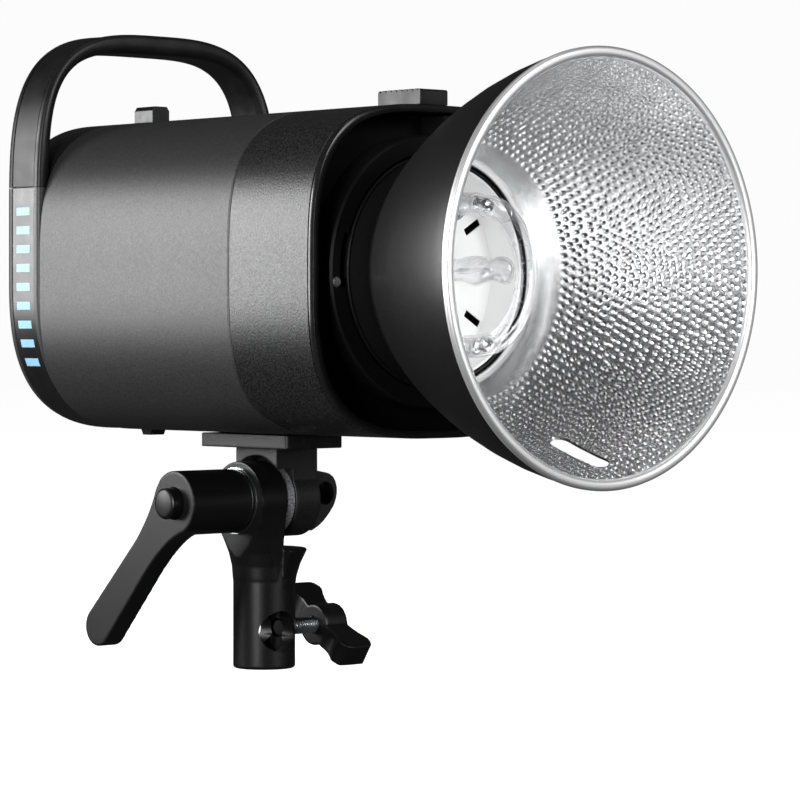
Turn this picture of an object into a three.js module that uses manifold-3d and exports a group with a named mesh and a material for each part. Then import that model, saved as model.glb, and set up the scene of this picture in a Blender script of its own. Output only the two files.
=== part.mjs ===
// Monolight studio strobe: squircle body with a hoop handle, bayonet-mounted bowl reflector,
// and a tilting stand bracket with a ratchet lever and a wing-knob clamp.
// Millimetres, +Z up. The origin is the centre of the stand socket's mouth and the lamp
// fires towards -Y. Each mesh is one separate piece of the lamp.
import * as THREE from 'three';
import * as BufferGeometryUtils from 'three/addons/utils/BufferGeometryUtils.js';
import Module from 'manifold-3d';

const wasm = await Module();
wasm.setup();

// ---------- driving dimensions ----------

const GAP = 0.3;                    // clearance between pieces that touch
const AXIS_Z = 177;                 // optical axis above the socket mouth
const PIVOT_Z = 75.7;               // tilt pivot above the socket mouth

const BODY_HALF = 71;               // half width of the squircle body section
const BODY_POWER = 3.2;             // superellipse exponent of the section
const SECTION_STEPS = 48;
const ROUND_STEPS = 32;
const SMALL_STEPS = 14;

// Stations along Y, front to rear
const RIM_Y = -217.5;
const HOUSING_FRONT = -116.3;
const CUP_FLOOR = -100.5;
const CUP_FLOOR_BACK = -97;
const SHELL_FRONT = -60.8;
const SHELL_REAR = 74;
const BAND_REAR = 98.7;
const BEZEL_REAR = 97;
const PANEL_FRONT = 91.5;
const PANEL_REAR = 94.5;

const HOUSING_WALL = 3.4;
const SHELL_WALL = 2.8;
const BAND_WALL = 7.6;
const BASE_HOLE_R = 46.3;           // opening in the housing floor round the lamp base

// Hoop handle: an arch of its own over the body, springing from ARCH_SPRING above the axis
const ARCH_SPRING = 26;
const ARCH_RISE = 86.5;
const ARCH_GRIP = 9;                // thickness at the crown
const ARCH_POWER = 3.3;
const GRIP_POWER = 4;               // the inner side of the arch has squarer corners
const BAND_POWER = 2.8;             // the lower band has rounder corners than the body
const HOOP_SEAM = 40;               // height of the joint between arch and lower band
const STRIP_INSET = 1.4;
const STRIP_EDGE = 3.6;             // margin of the cover strips from the hoop's edges

// Bayonet
const RING_FRONT = -113;
const RING_BORE_R = 50.4;
const RING_OUTER_R = 58.5;
const GROOVE_R = 53.4;
const GROOVE_FRONT = -109.7;
const GROOVE_REAR = -104;
const LUG_R = 53;
const LUG_SPREAD = 11;              // half angle of a lug, degrees
const LUG_ANGLES = [30, 150, 270];
const TWIST = 25;                   // unlocking twist, degrees
const SCREW_ANGLES = [185, 305, 65];
const RING_SCREW_R = 56;
const PIN_X = [5, 7.4];
const PIN_Y = [-110, -106];

// Reflector, measured back from the rim
const BOWL_RIM_R = 90;
const BOWL_LINEAR = 0.1444;
const BOWL_SQUARE = 0.00321;
const BOWL_DEPTH = 93;
const BOWL_SHEET = 1.2;
const NECK_R = 48.6;
const NECK_END = 103.5;

// Lamp head
const TUBE_ARC_R = 31.5;
const TUBE_CENTRE = [1.5, -1.5];
const TUBE_ARC_Y = -135.5;
const TUBE_R = 5;
const TUBE_END_ANGLE = 75;
const VENT_ANGLES = [31, -31, 149, -149, 56, 124];

// Stand socket
const SOCKET_R = 14;
const SOCKET_BORE_R = 8.1;
const SOCKET_BORE_DEPTH = 45;
const EAR_R = 17.5;
const EAR_X = [-15.6, -0.6];
const CLAMP_Z = 17.5;
const CROSS_HOLE_Z = 17;
const CROSS_HOLE_R = 9.2;

// ---------- solids ----------

function closed(geometry) {
  // Position only, shared vertices, no degenerate triangles, faces pointing out.
  const bare = geometry.clone();
  bare.deleteAttribute('normal');
  bare.deleteAttribute('uv');
  const merged = BufferGeometryUtils.mergeVertices(bare, 1e-4);
  const index = [];
  const old = merged.index.array;
  for (let i = 0; i < old.length; i += 3) {
    const [a, b, c] = [old[i], old[i + 1], old[i + 2]];
    if (a !== b && b !== c && c !== a) index.push(a, b, c);
  }
  merged.setIndex(index);
  if (signedVolume(merged) < 0) {
    merged.setIndex(index.reverse());
  }
  return merged;
}

function signedVolume(geometry) {
  const position = geometry.attributes.position;
  const index = geometry.index.array;
  const corner = [new THREE.Vector3(), new THREE.Vector3(), new THREE.Vector3()];
  let six = 0;
  for (let i = 0; i < index.length; i += 3) {
    corner.forEach((point, k) => point.fromBufferAttribute(position, index[i + k]));
    six += corner[0].dot(corner[1].clone().cross(corner[2]));
  }
  return six / 6;
}

function toSolid(geometry) {
  const mesh = closed(geometry);
  return new wasm.Manifold(new wasm.Mesh({
    numProp: 3,
    vertProperties: Float32Array.from(mesh.attributes.position.array),
    triVerts: Uint32Array.from(mesh.index.array),
  }));
}

function toGeometry(solid) {
  const mesh = solid.getMesh();
  const geometry = new THREE.BufferGeometry();
  geometry.setAttribute('position', new THREE.BufferAttribute(mesh.vertProperties, 3));
  geometry.setIndex(new THREE.BufferAttribute(mesh.triVerts, 1));
  return geometry;
}

function join(...bodies) {
  return toGeometry(bodies.map(toSolid).reduce((sum, body) => sum.add(body)));
}

function cut(body, ...tools) {
  return toGeometry(tools.map(toSolid).reduce((rest, tool) => rest.subtract(tool), toSolid(body)));
}

function common(body, other) {
  return toGeometry(toSolid(body).intersect(toSolid(other)));
}

// ---------- outlines and basic bodies ----------

const degrees = THREE.MathUtils.degToRad;

function polygon(points, holes = []) {
  const shape = new THREE.Shape(points);
  shape.holes = holes.map((hole) => new THREE.Path(hole));
  return shape;
}

function bentPower(value, power) {
  return Math.sign(value) * Math.abs(value) ** (2 / power);
}

// Part of a superellipse, as points from one angle to another
function superellipse(halfX, halfZ, power, { from = 0, to = 360, centreZ = 0, steps } = {}) {
  const count = steps ?? Math.round(SECTION_STEPS * (to - from) / 360);
  const last = to - from === 360 ? count - 1 : count;
  const points = [];
  for (let i = 0; i <= last; i += 1) {
    const t = degrees(from + (to - from) * i / count);
    const x = halfX * bentPower(Math.cos(t), power);
    points.push(new THREE.Vector2(x, centreZ + halfZ * bentPower(Math.sin(t), power)));
  }
  return points;
}

function squircle(half) {
  return superellipse(half, half, BODY_POWER);
}

// Outline drawn in X and Z, carried along Y
function alongY(shape, from, to) {
  const options = { depth: to - from, bevelEnabled: false, curveSegments: 7 };
  return new THREE.ExtrudeGeometry(shape, options).rotateX(Math.PI / 2).translate(0, to, 0);
}

// Outline drawn in Y and Z, carried along X
function alongX(shape, from, to) {
  const options = { depth: to - from, bevelEnabled: false, curveSegments: 7 };
  const turn = new THREE.Matrix4().makeBasis(
    new THREE.Vector3(0, 1, 0),
    new THREE.Vector3(0, 0, 1),
    new THREE.Vector3(1, 0, 0),
  );
  return new THREE.ExtrudeGeometry(shape, options).applyMatrix4(turn).translate(from, 0, 0);
}

function block(x, y, z) {
  const size = new THREE.BoxGeometry(x[1] - x[0], y[1] - y[0], z[1] - z[0]);
  return size.translate((x[0] + x[1]) / 2, (y[0] + y[1]) / 2, (z[0] + z[1]) / 2);
}

// Profile of [radius, station] pairs turned about Y; starts and ends on the axis or closes
function turned(profile, steps = ROUND_STEPS) {
  return new THREE.LatheGeometry(profile.map(([r, y]) => new THREE.Vector2(r, y)), steps);
}

function rod(radius, from, to, steps = SMALL_STEPS) {
  return turned([[0, from], [radius, from], [radius, to], [0, to]], steps);
}

function pipe(outer, inner, from, to, steps = ROUND_STEPS) {
  return turned([[inner, from], [outer, from], [outer, to], [inner, to], [inner, from]], steps);
}

const aboutX = (geometry) => geometry.rotateZ(-Math.PI / 2);
const aboutZ = (geometry) => geometry.rotateX(Math.PI / 2);

function rectangle(width, height, centreX = 0, centreZ = 0) {
  const [w, h] = [width / 2, height / 2];
  return polygon([[-w, -h], [w, -h], [w, h], [-w, h]].map(
    ([x, z]) => new THREE.Vector2(centreX + x, centreZ + z),
  ));
}

function polar(radius, angle) {
  return [radius * Math.cos(degrees(angle)), radius * Math.sin(degrees(angle))];
}

// ---------- finishes ----------

const finish = (color, roughness, metalness = 0) => ({ color, roughness, metalness });
const PAINT_GREY = finish(0x4a4b4d, 0.42, 0.35);
const PAINT_BLACK = finish(0x232425, 0.5, 0.25);
const PLASTIC_BLACK = finish(0x161617, 0.4);
const PLASTIC_GREY = finish(0x5c5f63, 0.5);
const RUBBER = finish(0x101010, 0.85);
const CAST_BLACK = finish(0x26282a, 0.6, 0.3);
const BRIGHT_STEEL = finish(0xc9cbce, 0.3, 0.95);
const SILVER = finish(0xe4e5e7, 0.22, 0.95);
const WHITE = finish(0xf1f0ec, 0.55);
const GLASS = finish(0xdfe6e8, 0.05);
const BLUE_STRIP = finish(0x15181c, 0.45);
const COPPER = finish(0xa9683a, 0.4, 0.8);
const BOARD_GREEN = finish(0x1f5a38, 0.6);
const BRASS = finish(0xb8923e, 0.35, 0.9);

const lamp = new THREE.Group();

function group(parent, x = 0, y = 0, z = 0) {
  const made = new THREE.Group();
  made.position.set(x, y, z);
  parent.add(made);
  return made;
}

function piece(parent, name, geometry, look, place = [0, 0, 0]) {
  const mesh = new THREE.Mesh(closed(geometry), new THREE.MeshStandardMaterial(look));
  mesh.name = name;
  mesh.position.set(...place);
  parent.add(mesh);
  return mesh;
}

// ---------- body shells ----------

const head = group(lamp, 0, 0, AXIS_Z);

function frontHousing() {
  const inner = squircle(BODY_HALF - HOUSING_WALL);
  const outer = alongY(polygon(squircle(BODY_HALF)), HOUSING_FRONT, SHELL_FRONT - GAP);
  const cup = alongY(polygon(inner), HOUSING_FRONT - 1, CUP_FLOOR);
  const back = alongY(polygon(inner), CUP_FLOOR_BACK, SHELL_FRONT + 1);
  const lampHole = rod(BASE_HOLE_R, CUP_FLOOR - 1, CUP_FLOOR_BACK + 1, ROUND_STEPS);
  const sliderSlot = block([PIN_X[0] - GAP, PIN_X[1] + GAP], [-110.5, -100.7], [60, 80]);
  return cut(outer, cup, back, lampHole, sliderSlot);
}

function rearShell() {
  const ring = polygon(squircle(BODY_HALF), [squircle(BODY_HALF - SHELL_WALL)]);
  return alongY(ring, SHELL_FRONT, SHELL_REAR);
}

// Outline of the hoop: its own arch above the axis, the body section below it
function hoopOutline(inset, crownInset = inset) {
  const half = BODY_HALF - inset;
  const power = inset < BAND_WALL ? ARCH_POWER : GRIP_POWER;
  const arch = { from: 0, to: 180, centreZ: ARCH_SPRING };
  const upper = superellipse(half, ARCH_RISE - crownInset, power, arch);
  const lower = superellipse(half, half, BAND_POWER, { from: 180, to: 360 });
  return [...upper, ...lower];
}

function hoop(outerInset, innerInset, crownInset, from, to) {
  const ring = polygon(hoopOutline(outerInset), [hoopOutline(innerInset, crownInset)]);
  return alongY(ring, from, to);
}

const EVERYWHERE = [-200, 200];

function above(z) {
  return block(EVERYWHERE, EVERYWHERE, [z, 200]);
}

function below(z) {
  return block(EVERYWHERE, EVERYWHERE, [-200, z]);
}

const STRIP_GROOVE = STRIP_INSET + GAP;
const BAND_FRONT = SHELL_REAR + GAP;

function hoopStrip(grow) {
  const inner = STRIP_GROOVE + (grow ? 0 : -GAP);
  const reach = grow ? -5 : 0;
  const margin = STRIP_EDGE + (grow ? 0 : GAP);
  return hoop(reach, inner, inner, BAND_FRONT + margin, BAND_REAR - margin);
}

function handleArch() {
  const ring = hoop(0, BAND_WALL, ARCH_GRIP, BAND_FRONT, BAND_REAR);
  return cut(ring, below(HOOP_SEAM + GAP), common(hoopStrip(true), above(HOOP_SEAM + 3)));
}

function lowerBand() {
  const ring = hoop(0, BAND_WALL, ARCH_GRIP, BAND_FRONT, BAND_REAR);
  return cut(ring, above(HOOP_SEAM), common(hoopStrip(true), below(HOOP_SEAM - 3)));
}

function rearBezel() {
  const outer = alongY(polygon(squircle(BODY_HALF)), BAND_FRONT, BEZEL_REAR);
  const insideHoop = polygon(hoopOutline(BAND_WALL + GAP, ARCH_GRIP + GAP));
  const opening = alongY(polygon(squircle(PANEL_HALF + GAP)), BAND_FRONT - 1, BEZEL_REAR + 1);
  return cut(common(outer, alongY(insideHoop, BAND_FRONT - 1, BEZEL_REAR + 1)), opening);
}

function bottomFoot() {
  const side = [[76.6, -71 - GAP], [85, -71 - GAP], [83.6, -73.9], [78, -73.9]];
  return alongX(polygon(side.map(([y, z]) => new THREE.Vector2(y, z))), -4, 4);
}

// Domed block whose chamfers run along the body
function slaveSensor() {
  const front = [[-5, 71 + GAP], [5, 71 + GAP], [5, 77.6], [3.6, 79.6], [-3.6, 79.6], [-5, 77.6]];
  return alongY(polygon(front.map(([x, z]) => new THREE.Vector2(x, z))), 75, 89);
}

const PANEL_HALF = 56.2;

piece(head, 'front_housing', frontHousing(), PAINT_BLACK);
piece(head, 'rear_shell', rearShell(), PAINT_GREY);
piece(head, 'handle_arch', handleArch(), PLASTIC_BLACK);
piece(head, 'handle_cover', common(hoopStrip(false), above(HOOP_SEAM + 3 + GAP)), PLASTIC_BLACK);
piece(head, 'lower_band', lowerBand(), PLASTIC_GREY);
piece(head, 'band_inlay', common(hoopStrip(false), below(HOOP_SEAM - 3 - GAP)), BLUE_STRIP);
piece(head, 'rear_bezel', rearBezel(), PLASTIC_BLACK);
piece(head, 'bottom_foot', bottomFoot(), RUBBER);
piece(head, 'slave_sensor', slaveSensor(), GLASS);

// ---------- rear panel ----------

const DIAL = [0, -10];
const WINDOW = { width: 68, height: 32, x: 0, z: 26 };
const BUTTONS = [[-32, -2], [-32, -18], [32, -2], [32, -18]];
const BUTTON_R = 4.2;
const ROCKER = { x: -12, z: -40, tilt: 8, hingeY: 92 };
const INLET = { x: 17, z: -38.5, flangeX: 30, flangeZ: 23, bodyX: 27, bodyZ: 20 };
const FUSE = [-33, -36];
const JACK = [46, -6];
const ON_PANEL = PANEL_REAR + GAP;

const through = (shape) => alongY(shape, PANEL_FRONT - 1, PANEL_REAR + 1);
const drill = (radius, [x, z]) => rod(radius, PANEL_FRONT - 1, PANEL_REAR + 1).translate(x, 0, z);

function rearPanel() {
  return cut(
    alongY(polygon(squircle(PANEL_HALF)), PANEL_FRONT, PANEL_REAR),
    through(rectangle(WINDOW.width, WINDOW.height, WINDOW.x, WINDOW.z)),
    through(rectangle(13 + GAP * 2, 19 + GAP * 2, ROCKER.x, ROCKER.z)),
    through(rectangle(INLET.bodyX + GAP * 2, INLET.bodyZ + GAP * 2, INLET.x, INLET.z)),
    ...BUTTONS.map((at) => drill(BUTTON_R + GAP, at)),
    drill(3.4, DIAL),
    drill(5.5, FUSE),
    drill(3.5, JACK),
  );
}

function displayWindow() {
  const pane = rectangle(WINDOW.width - GAP * 2, WINDOW.height - GAP * 2);
  return alongY(pane, PANEL_FRONT + 0.4, PANEL_REAR + 0.2);
}

function dialCap() {
  const grips = 18;
  const outline = [];
  for (let i = 0; i < grips * 2; i += 1) {
    outline.push(new THREE.Vector2(...polar(i % 2 ? 12.9 : 13.5, i * 180 / grips)));
  }
  const skirt = alongY(polygon(outline), 95.8, 102.6);
  const crown = turned([[0, 102], [12.6, 102], [12.6, 102.8], [11.4, 104], [0, 104]], 36);
  return cut(join(skirt, crown), rod(3.3, 95, 101.5));
}

function switchFrame() {
  const flange = alongY(rectangle(15, 21), ON_PANEL, 96.3);
  const sleeve = alongY(rectangle(13, 19), 82, ON_PANEL + 0.5);
  return cut(join(flange, sleeve), alongY(rectangle(11, 18.4), 84, 97));
}

function rocker() {
  const side = [[-3, -7.6], [-3, 7.6], [4.5, 7.6], [2.6, 0], [4.5, -7.6]];
  return alongX(polygon(side.map(([y, z]) => new THREE.Vector2(y, z))), -5.2, 5.2);
}

function mainsInlet() {
  const flange = alongY(rectangle(INLET.flangeX, INLET.flangeZ), ON_PANEL, 97);
  const housing = alongY(rectangle(INLET.bodyX, INLET.bodyZ), 78, ON_PANEL + 0.5);
  const recess = alongY(rectangle(24, 16), 81, 98);
  const pins = [[-7, -1.5], [0, 2.5], [7, -1.5]].map(
    ([x, z]) => alongY(rectangle(2, 4.5, x, z), 80.5, 91.5),
  );
  return join(cut(join(flange, housing), recess), ...pins);
}

function fuseHolder() {
  const outer = [[0, 78], [5.2, 78], [5.2, ON_PANEL], [6.4, ON_PANEL], [6.4, 96.2]];
  const inner = [[3.6, 96.2], [3.6, 82], [0, 82]];
  return turned([...outer, ...inner], SMALL_STEPS);
}

function fuseCap() {
  const cap = turned([[0, 84], [3.2, 84], [3.2, 96.5], [4.8, 96.5], [4.8, 99], [0, 99]], SMALL_STEPS);
  return cut(cap, block([-6, 6], [97.8, 100], [-0.6, 0.6]));
}

function syncJack() {
  const outer = [[0, 84], [3.2, 84], [3.2, ON_PANEL], [4.2, ON_PANEL], [4.2, 96.3]];
  return turned([...outer, [1.8, 96.3], [1.8, 86], [0, 86]], SMALL_STEPS);
}

piece(head, 'rear_panel', rearPanel(), PLASTIC_BLACK);
piece(head, 'display_window', displayWindow(), GLASS, [WINDOW.x, 0, WINDOW.z]);
BUTTONS.forEach(([x, z], i) => {
  piece(head, `button_${i + 1}`, rod(BUTTON_R, 92, 96.6), PLASTIC_GREY, [x, 0, z]);
});
piece(head, 'encoder_shaft', rod(3, 86, 101.2, 12), BRIGHT_STEEL, [DIAL[0], 0, DIAL[1]]);
piece(head, 'dial_cap', dialCap(), PLASTIC_BLACK, [DIAL[0], 0, DIAL[1]]);
piece(head, 'switch_frame', switchFrame(), PLASTIC_BLACK, [ROCKER.x, 0, ROCKER.z]);
const rockerMesh = piece(head, 'power_rocker', rocker(), PLASTIC_BLACK);
rockerMesh.position.set(ROCKER.x, ROCKER.hingeY, ROCKER.z);
rockerMesh.rotation.x = degrees(-ROCKER.tilt);
piece(head, 'mains_inlet', mainsInlet(), PLASTIC_BLACK, [INLET.x, 0, INLET.z]);
piece(head, 'fuse_holder', fuseHolder(), PLASTIC_BLACK, [FUSE[0], 0, FUSE[1]]);
piece(head, 'fuse_cap', fuseCap(), PLASTIC_BLACK, [FUSE[0], 0, FUSE[1]]);
piece(head, 'sync_jack', syncJack(), BRIGHT_STEEL, [JACK[0], 0, JACK[1]]);

// ---------- inside the body ----------

const FAN_BORE_R = 28;

function bulkhead() {
  const wall = alongY(polygon(squircle(66.8)), -71, -69.5);
  return cut(wall, rod(FAN_BORE_R, -72, -69, ROUND_STEPS));
}

function fanFrame() {
  return cut(alongY(rectangle(60, 60), -88, -71.3), rod(FAN_BORE_R, -89, -71, 32));
}

function fanRotor() {
  const blades = 7;
  const parts = [rod(11, -85, -74)];
  for (let i = 0; i < blades; i += 1) {
    const blade = block([9, 26.5], [-84, -75], [-0.7, 0.7]);
    blade.translate(0, 79.5, 0).rotateX(degrees(38)).translate(0, -79.5, 0);
    parts.push(blade.rotateY(degrees(i * 360 / blades)));
  }
  return join(...parts);
}

function transformer() {
  const core = block([-48, -14], [-44, -12], [-12.9, 14]);
  const winding = block([-43, -19], [-50, -6], [-9, 10]);
  return join(core, winding);
}

function heatSink() {
  const fins = 6;
  const outline = [[8, -12.9], [50, -12.9]];
  const pitch = 42 / (fins * 2 - 1);
  for (let i = fins * 2 - 1; i >= 0; i -= 1) {
    const right = 8 + pitch * (i + 1);
    if (i % 2 === 0) {
      outline.push([right, 14], [right - pitch, 14]);
    } else {
      outline.push([right, -8], [right - pitch, -8]);
    }
  }
  return alongY(polygon(outline.map(([x, z]) => new THREE.Vector2(x, z))), -50, 10);
}

piece(head, 'bulkhead', bulkhead(), BRIGHT_STEEL);
piece(head, 'fan_frame', fanFrame(), PLASTIC_BLACK);
piece(head, 'fan_rotor', fanRotor(), PLASTIC_BLACK);
piece(head, 'main_board', block([-55, 55], [-66, 70], [-14.8, -13.2]), BOARD_GREEN);
[-38, 0, 38].forEach((x, i) => {
  piece(head, `flash_capacitor_${i + 1}`, rod(17.5, -60, 10), PLASTIC_BLACK, [x, 0, -36]);
});
piece(head, 'transformer', transformer(), COPPER);
piece(head, 'heat_sink', heatSink(), BRIGHT_STEEL);

// ---------- lamp base, flash tube and modelling lamp ----------

const [SOCKET_X, SOCKET_OFFSET] = polar(TUBE_ARC_R, TUBE_END_ANGLE);
const flashArc = group(head, TUBE_CENTRE[0], 0, TUBE_CENTRE[1]);

// Lamp base: a disc with vents, and a collar that lines the mount as far as the bowl's neck
function basePlate() {
  const collar = [[44.4, -101.5], [44.4, -119.5], [45.6, -119.5], [45.6, -101.5]];
  const disc = [[0, -101.5], ...collar, [45.9, -101.5], [45.9, -96.7], [49.5, -96.7], [49.5, -94.7], [0, -94.7]];
  const slots = VENT_ANGLES.map((angle) => (
    block([34.5, 43.5], [-103, -93], [-1.4, 1.4]).rotateY(degrees(-angle))
  ));
  return cut(turned(disc), ...slots);
}

class TubePath extends THREE.Curve {
  // A leg forwards, three quarters of a bend into the arc, round the arc, and back.
  getPoint(t, target = new THREE.Vector3()) {
    const side = t < 0.5 ? 1 : -1;
    const along = (t < 0.5 ? t : 1 - t) * 2;
    const legShare = 0.3;
    if (along < legShare) {
      const y = -102.5 + (TUBE_ARC_Y + 7 + 102.5) * along / legShare;
      return target.set(SOCKET_X, y, side * SOCKET_OFFSET);
    }
    const turn = (along - legShare) / (1 - legShare);
    const angle = TUBE_END_ANGLE * (1 - turn);
    const [x, z] = polar(TUBE_ARC_R, side * angle);
    const bend = Math.min(1, turn / 0.12);
    return target.set(x, TUBE_ARC_Y + 7 * (1 - Math.sin(bend * Math.PI / 2)), z);
  }
}

function flashTube() {
  const section = new THREE.Shape().absarc(0, 0, TUBE_R, 0, Math.PI * 2);
  const options = { steps: 34, curveSegments: 5, bevelEnabled: false, extrudePath: new TubePath() };
  return new THREE.ExtrudeGeometry(section, options);
}

function modellingLamp() {
  const dome = [[5.6, -158], [3.6, -159.8], [0, -160.5]];
  return turned([[0, -109.3], [6.5, -109.3], [6.5, -156], ...dome], 24);
}

piece(head, 'base_plate', basePlate(), WHITE);
piece(flashArc, 'flash_tube', flashTube(), GLASS);
['upper', 'lower'].forEach((name, i) => {
  const z = i === 0 ? SOCKET_OFFSET : -SOCKET_OFFSET;
  const sleeve = pipe(7.2, 5.6, -116, -101.8, 20);
  piece(flashArc, `tube_socket_${name}`, sleeve, BRIGHT_STEEL, [SOCKET_X, 0, z]);
});
piece(head, 'lamp_socket', rod(11, -109, -101.8, 24), WHITE);
piece(head, 'modelling_lamp', modellingLamp(), GLASS);

// ---------- bayonet mount and its release ----------

// A wedge of a ring between two radii and two stations, centred on an angle
function ringWedge(inner, outer, from, to, angle, spread) {
  const outline = [];
  for (const [radius, sense] of [[inner, 1], [outer, -1]]) {
    for (const step of [-1, -0.33, 0.33, 1]) {
      outline.push(new THREE.Vector2(...polar(radius, angle + step * sense * spread)));
    }
  }
  return alongY(polygon(outline), from, to);
}

function mountRing() {
  const ring = turned([
    [RING_BORE_R, RING_FRONT],
    [RING_OUTER_R, RING_FRONT],
    [RING_OUTER_R, CUP_FLOOR - GAP],
    [RING_BORE_R, CUP_FLOOR - GAP],
    [RING_BORE_R, GROOVE_REAR],
    [GROOVE_R, GROOVE_REAR],
    [GROOVE_R, GROOVE_FRONT],
    [RING_BORE_R, GROOVE_FRONT],
    [RING_BORE_R, RING_FRONT],
  ], 40);
  const entries = LUG_ANGLES.map((angle) => ringWedge(
    RING_BORE_R - 1, GROOVE_R, RING_FRONT - 1, GROOVE_FRONT + 1, angle + TWIST, LUG_SPREAD + 1.5,
  ));
  const screwHoles = SCREW_ANGLES.map((angle) => {
    const [x, z] = polar(RING_SCREW_R, angle);
    return rod(1.8, RING_FRONT - 1, -103.5, 12).translate(x, 0, z);
  });
  const pinSlot = block([PIN_X[0] - GAP, PIN_X[1] + GAP], [-111.5, -100], [48, 60]);
  return cut(ring, ...entries, ...screwHoles, pinSlot);
}

function latchHousing() {
  const body = block([3.8, 22], [-114.8, CUP_FLOOR - GAP], [50, 66.6]);
  const channel = block([PIN_X[0] - GAP, PIN_X[1] + GAP], [-112, -100], [50, 70]);
  return cut(body, rod(RING_OUTER_R + GAP, -120, -100, 48), channel);
}

function releaseSlider() {
  const [front, rear, top] = [-112.9, -85.9, 78];
  const ridges = 7;
  const pitch = 20 / ridges;
  const side = [[front, 71 + GAP], [rear, 71 + GAP], [rear, top - 0.8]];
  for (let i = 0; i < ridges; i += 1) {
    const start = rear - 0.8 - i * pitch;
    side.push([start, top], [start - pitch * 0.55, top], [start - pitch * 0.6, top - 0.7]);
    side.push([start - pitch * 0.95, top - 0.7]);
  }
  side.push([front + 0.8, top], [front, top - 0.8]);
  const body = alongX(polygon(side.map(([y, z]) => new THREE.Vector2(y, z))), -8, 8);
  return join(body, block(PIN_X, PIN_Y, [67, 72]));
}

piece(head, 'mount_ring', mountRing(), CAST_BLACK);
SCREW_ANGLES.forEach((angle, i) => {
  const [x, z] = polar(RING_SCREW_R, angle);
  const profile = [[0, -114.5], [1.6, -114.5], [2.3, -113.9], [2.3, -113.3], [1.5, -113.3]];
  const screw = turned([...profile, [1.5, -105], [0, -105]], 12);
  piece(head, `mount_screw_${i + 1}`, screw, BRIGHT_STEEL, [x, 0, z]);
});
piece(head, 'latch_housing', latchHousing(), PLASTIC_BLACK);
piece(head, 'release_slider', releaseSlider(), PLASTIC_BLACK);
piece(head, 'latch_pin', block(PIN_X, PIN_Y, [51.5, 66.7]), BRIGHT_STEEL);

// ---------- reflector ----------

const reflector = group(head, 0, RIM_Y, 0);
const UMBRELLA_SLOT = { angle: -75, from: 23, to: 52, width: 9 };

function bowlRadius(depth) {
  return BOWL_RIM_R - BOWL_LINEAR * depth - BOWL_SQUARE * depth ** 2;
}

function reflectorBowl() {
  const depths = [3, 20, 37, 53, 68, 81, BOWL_DEPTH];
  const outside = depths.map((depth) => [bowlRadius(depth), depth]);
  const inside = depths.map((depth) => [bowlRadius(depth) - BOWL_SHEET, depth]).reverse();
  const rim = [[85.3, 1.2], [86.4, 0], [89, 0], [90, 1.2]];
  const neck = [[NECK_R, BOWL_DEPTH + 2], [NECK_R, NECK_END], [NECK_R - BOWL_SHEET, NECK_END]];
  const lipBack = [[85.3, 2.8]];
  const sheet = turned([
    ...rim, ...outside, ...neck, [NECK_R - BOWL_SHEET, BOWL_DEPTH + 2], ...inside, ...lipBack, rim[0],
  ], 44);
  const { angle, from, to, width } = UMBRELLA_SLOT;
  const round = width / 2;
  const slot = new THREE.Shape();
  slot.absarc(from + round, 0, round, Math.PI / 2, Math.PI * 1.5);
  slot.absarc(to - round, 0, round, -Math.PI / 2, Math.PI / 2);
  const cutter = new THREE.ExtrudeGeometry(slot, { depth: 40, bevelEnabled: false, curveSegments: 8 });
  // The outline runs back along Y and is pushed out through the wall at the slot's angle.
  cutter.translate(0, 0, 60).rotateZ(Math.PI / 2).rotateY(degrees(90 - angle));
  return cut(sheet, cutter);
}

function reflectorMountRing() {
  const [front, step, rear] = [97.5, NECK_END + GAP, 113];
  const bore = NECK_R - BOWL_SHEET * 2 - GAP;
  const sleeve = NECK_R - BOWL_SHEET - GAP;
  const body = turned([
    [bore, front], [sleeve, front], [sleeve, step], [49.8, step], [49.8, rear], [bore, rear], [bore, front],
  ], 40);
  const lugs = LUG_ANGLES.map((angle) => ringWedge(
    48.5, LUG_R, GROOVE_FRONT + 0.5 - RIM_Y, GROOVE_REAR - 1.2 - RIM_Y, angle, LUG_SPREAD,
  ));
  return join(body, ...lugs);
}

piece(reflector, 'reflector_bowl', reflectorBowl(), SILVER);
piece(reflector, 'reflector_mount_ring', reflectorMountRing(), CAST_BLACK);

// ---------- tilt bracket (moves with the head) ----------

const pivot = group(lamp, 0, 0, PIVOT_Z);
const PLATE_TOP = AXIS_Z - BODY_HALF - PIVOT_Z - GAP;
const PLATE_BOTTOM = 99.5 - PIVOT_Z;
const KNUCKLE_X = [5, 19.6];
const UMBRELLA = { x: 27, z: 2.3, radius: 5.3 };

function umbrellaBoss() {
  const outline = new THREE.Shape();
  outline.moveTo(KNUCKLE_X[1] - 1, -14.5);
  outline.quadraticCurveTo(26, -12, 32, -3.8);
  outline.quadraticCurveTo(35.4, 1.6, 33.6, 7);
  outline.quadraticCurveTo(32, 11, 27.5, 11.8);
  outline.lineTo(KNUCKLE_X[1] - 1, 13.5);
  return alongY(outline, -11, 11);
}

function tiltBracket() {
  const plate = block([-16.5, 16.5], [-35.5, 25.5], [PLATE_BOTTOM, PLATE_TOP]);
  const neck = block([-4.7, KNUCKLE_X[1]], [-14.3, 14.3], [6, PLATE_BOTTOM + 1]);
  const knuckle = aboutX(rod(17, KNUCKLE_X[0], KNUCKLE_X[1], ROUND_STEPS));
  const earRoom = aboutX(rod(20, -10, KNUCKLE_X[0], ROUND_STEPS));
  const screwBore = aboutX(rod(4.5, 0, 17.5));
  const umbrellaBore = rod(UMBRELLA.radius, -20, 20).translate(UMBRELLA.x, 0, UMBRELLA.z);
  return cut(join(plate, cut(neck, earRoom), knuckle, umbrellaBoss()), screwBore, umbrellaBore);
}

piece(pivot, 'tilt_bracket', tiltBracket(), CAST_BLACK);
piece(pivot, 'friction_washer', aboutX(pipe(16.5, 4.6, -0.3, 4.7)), BRIGHT_STEEL);

// ---------- ratchet lever ----------

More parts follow.
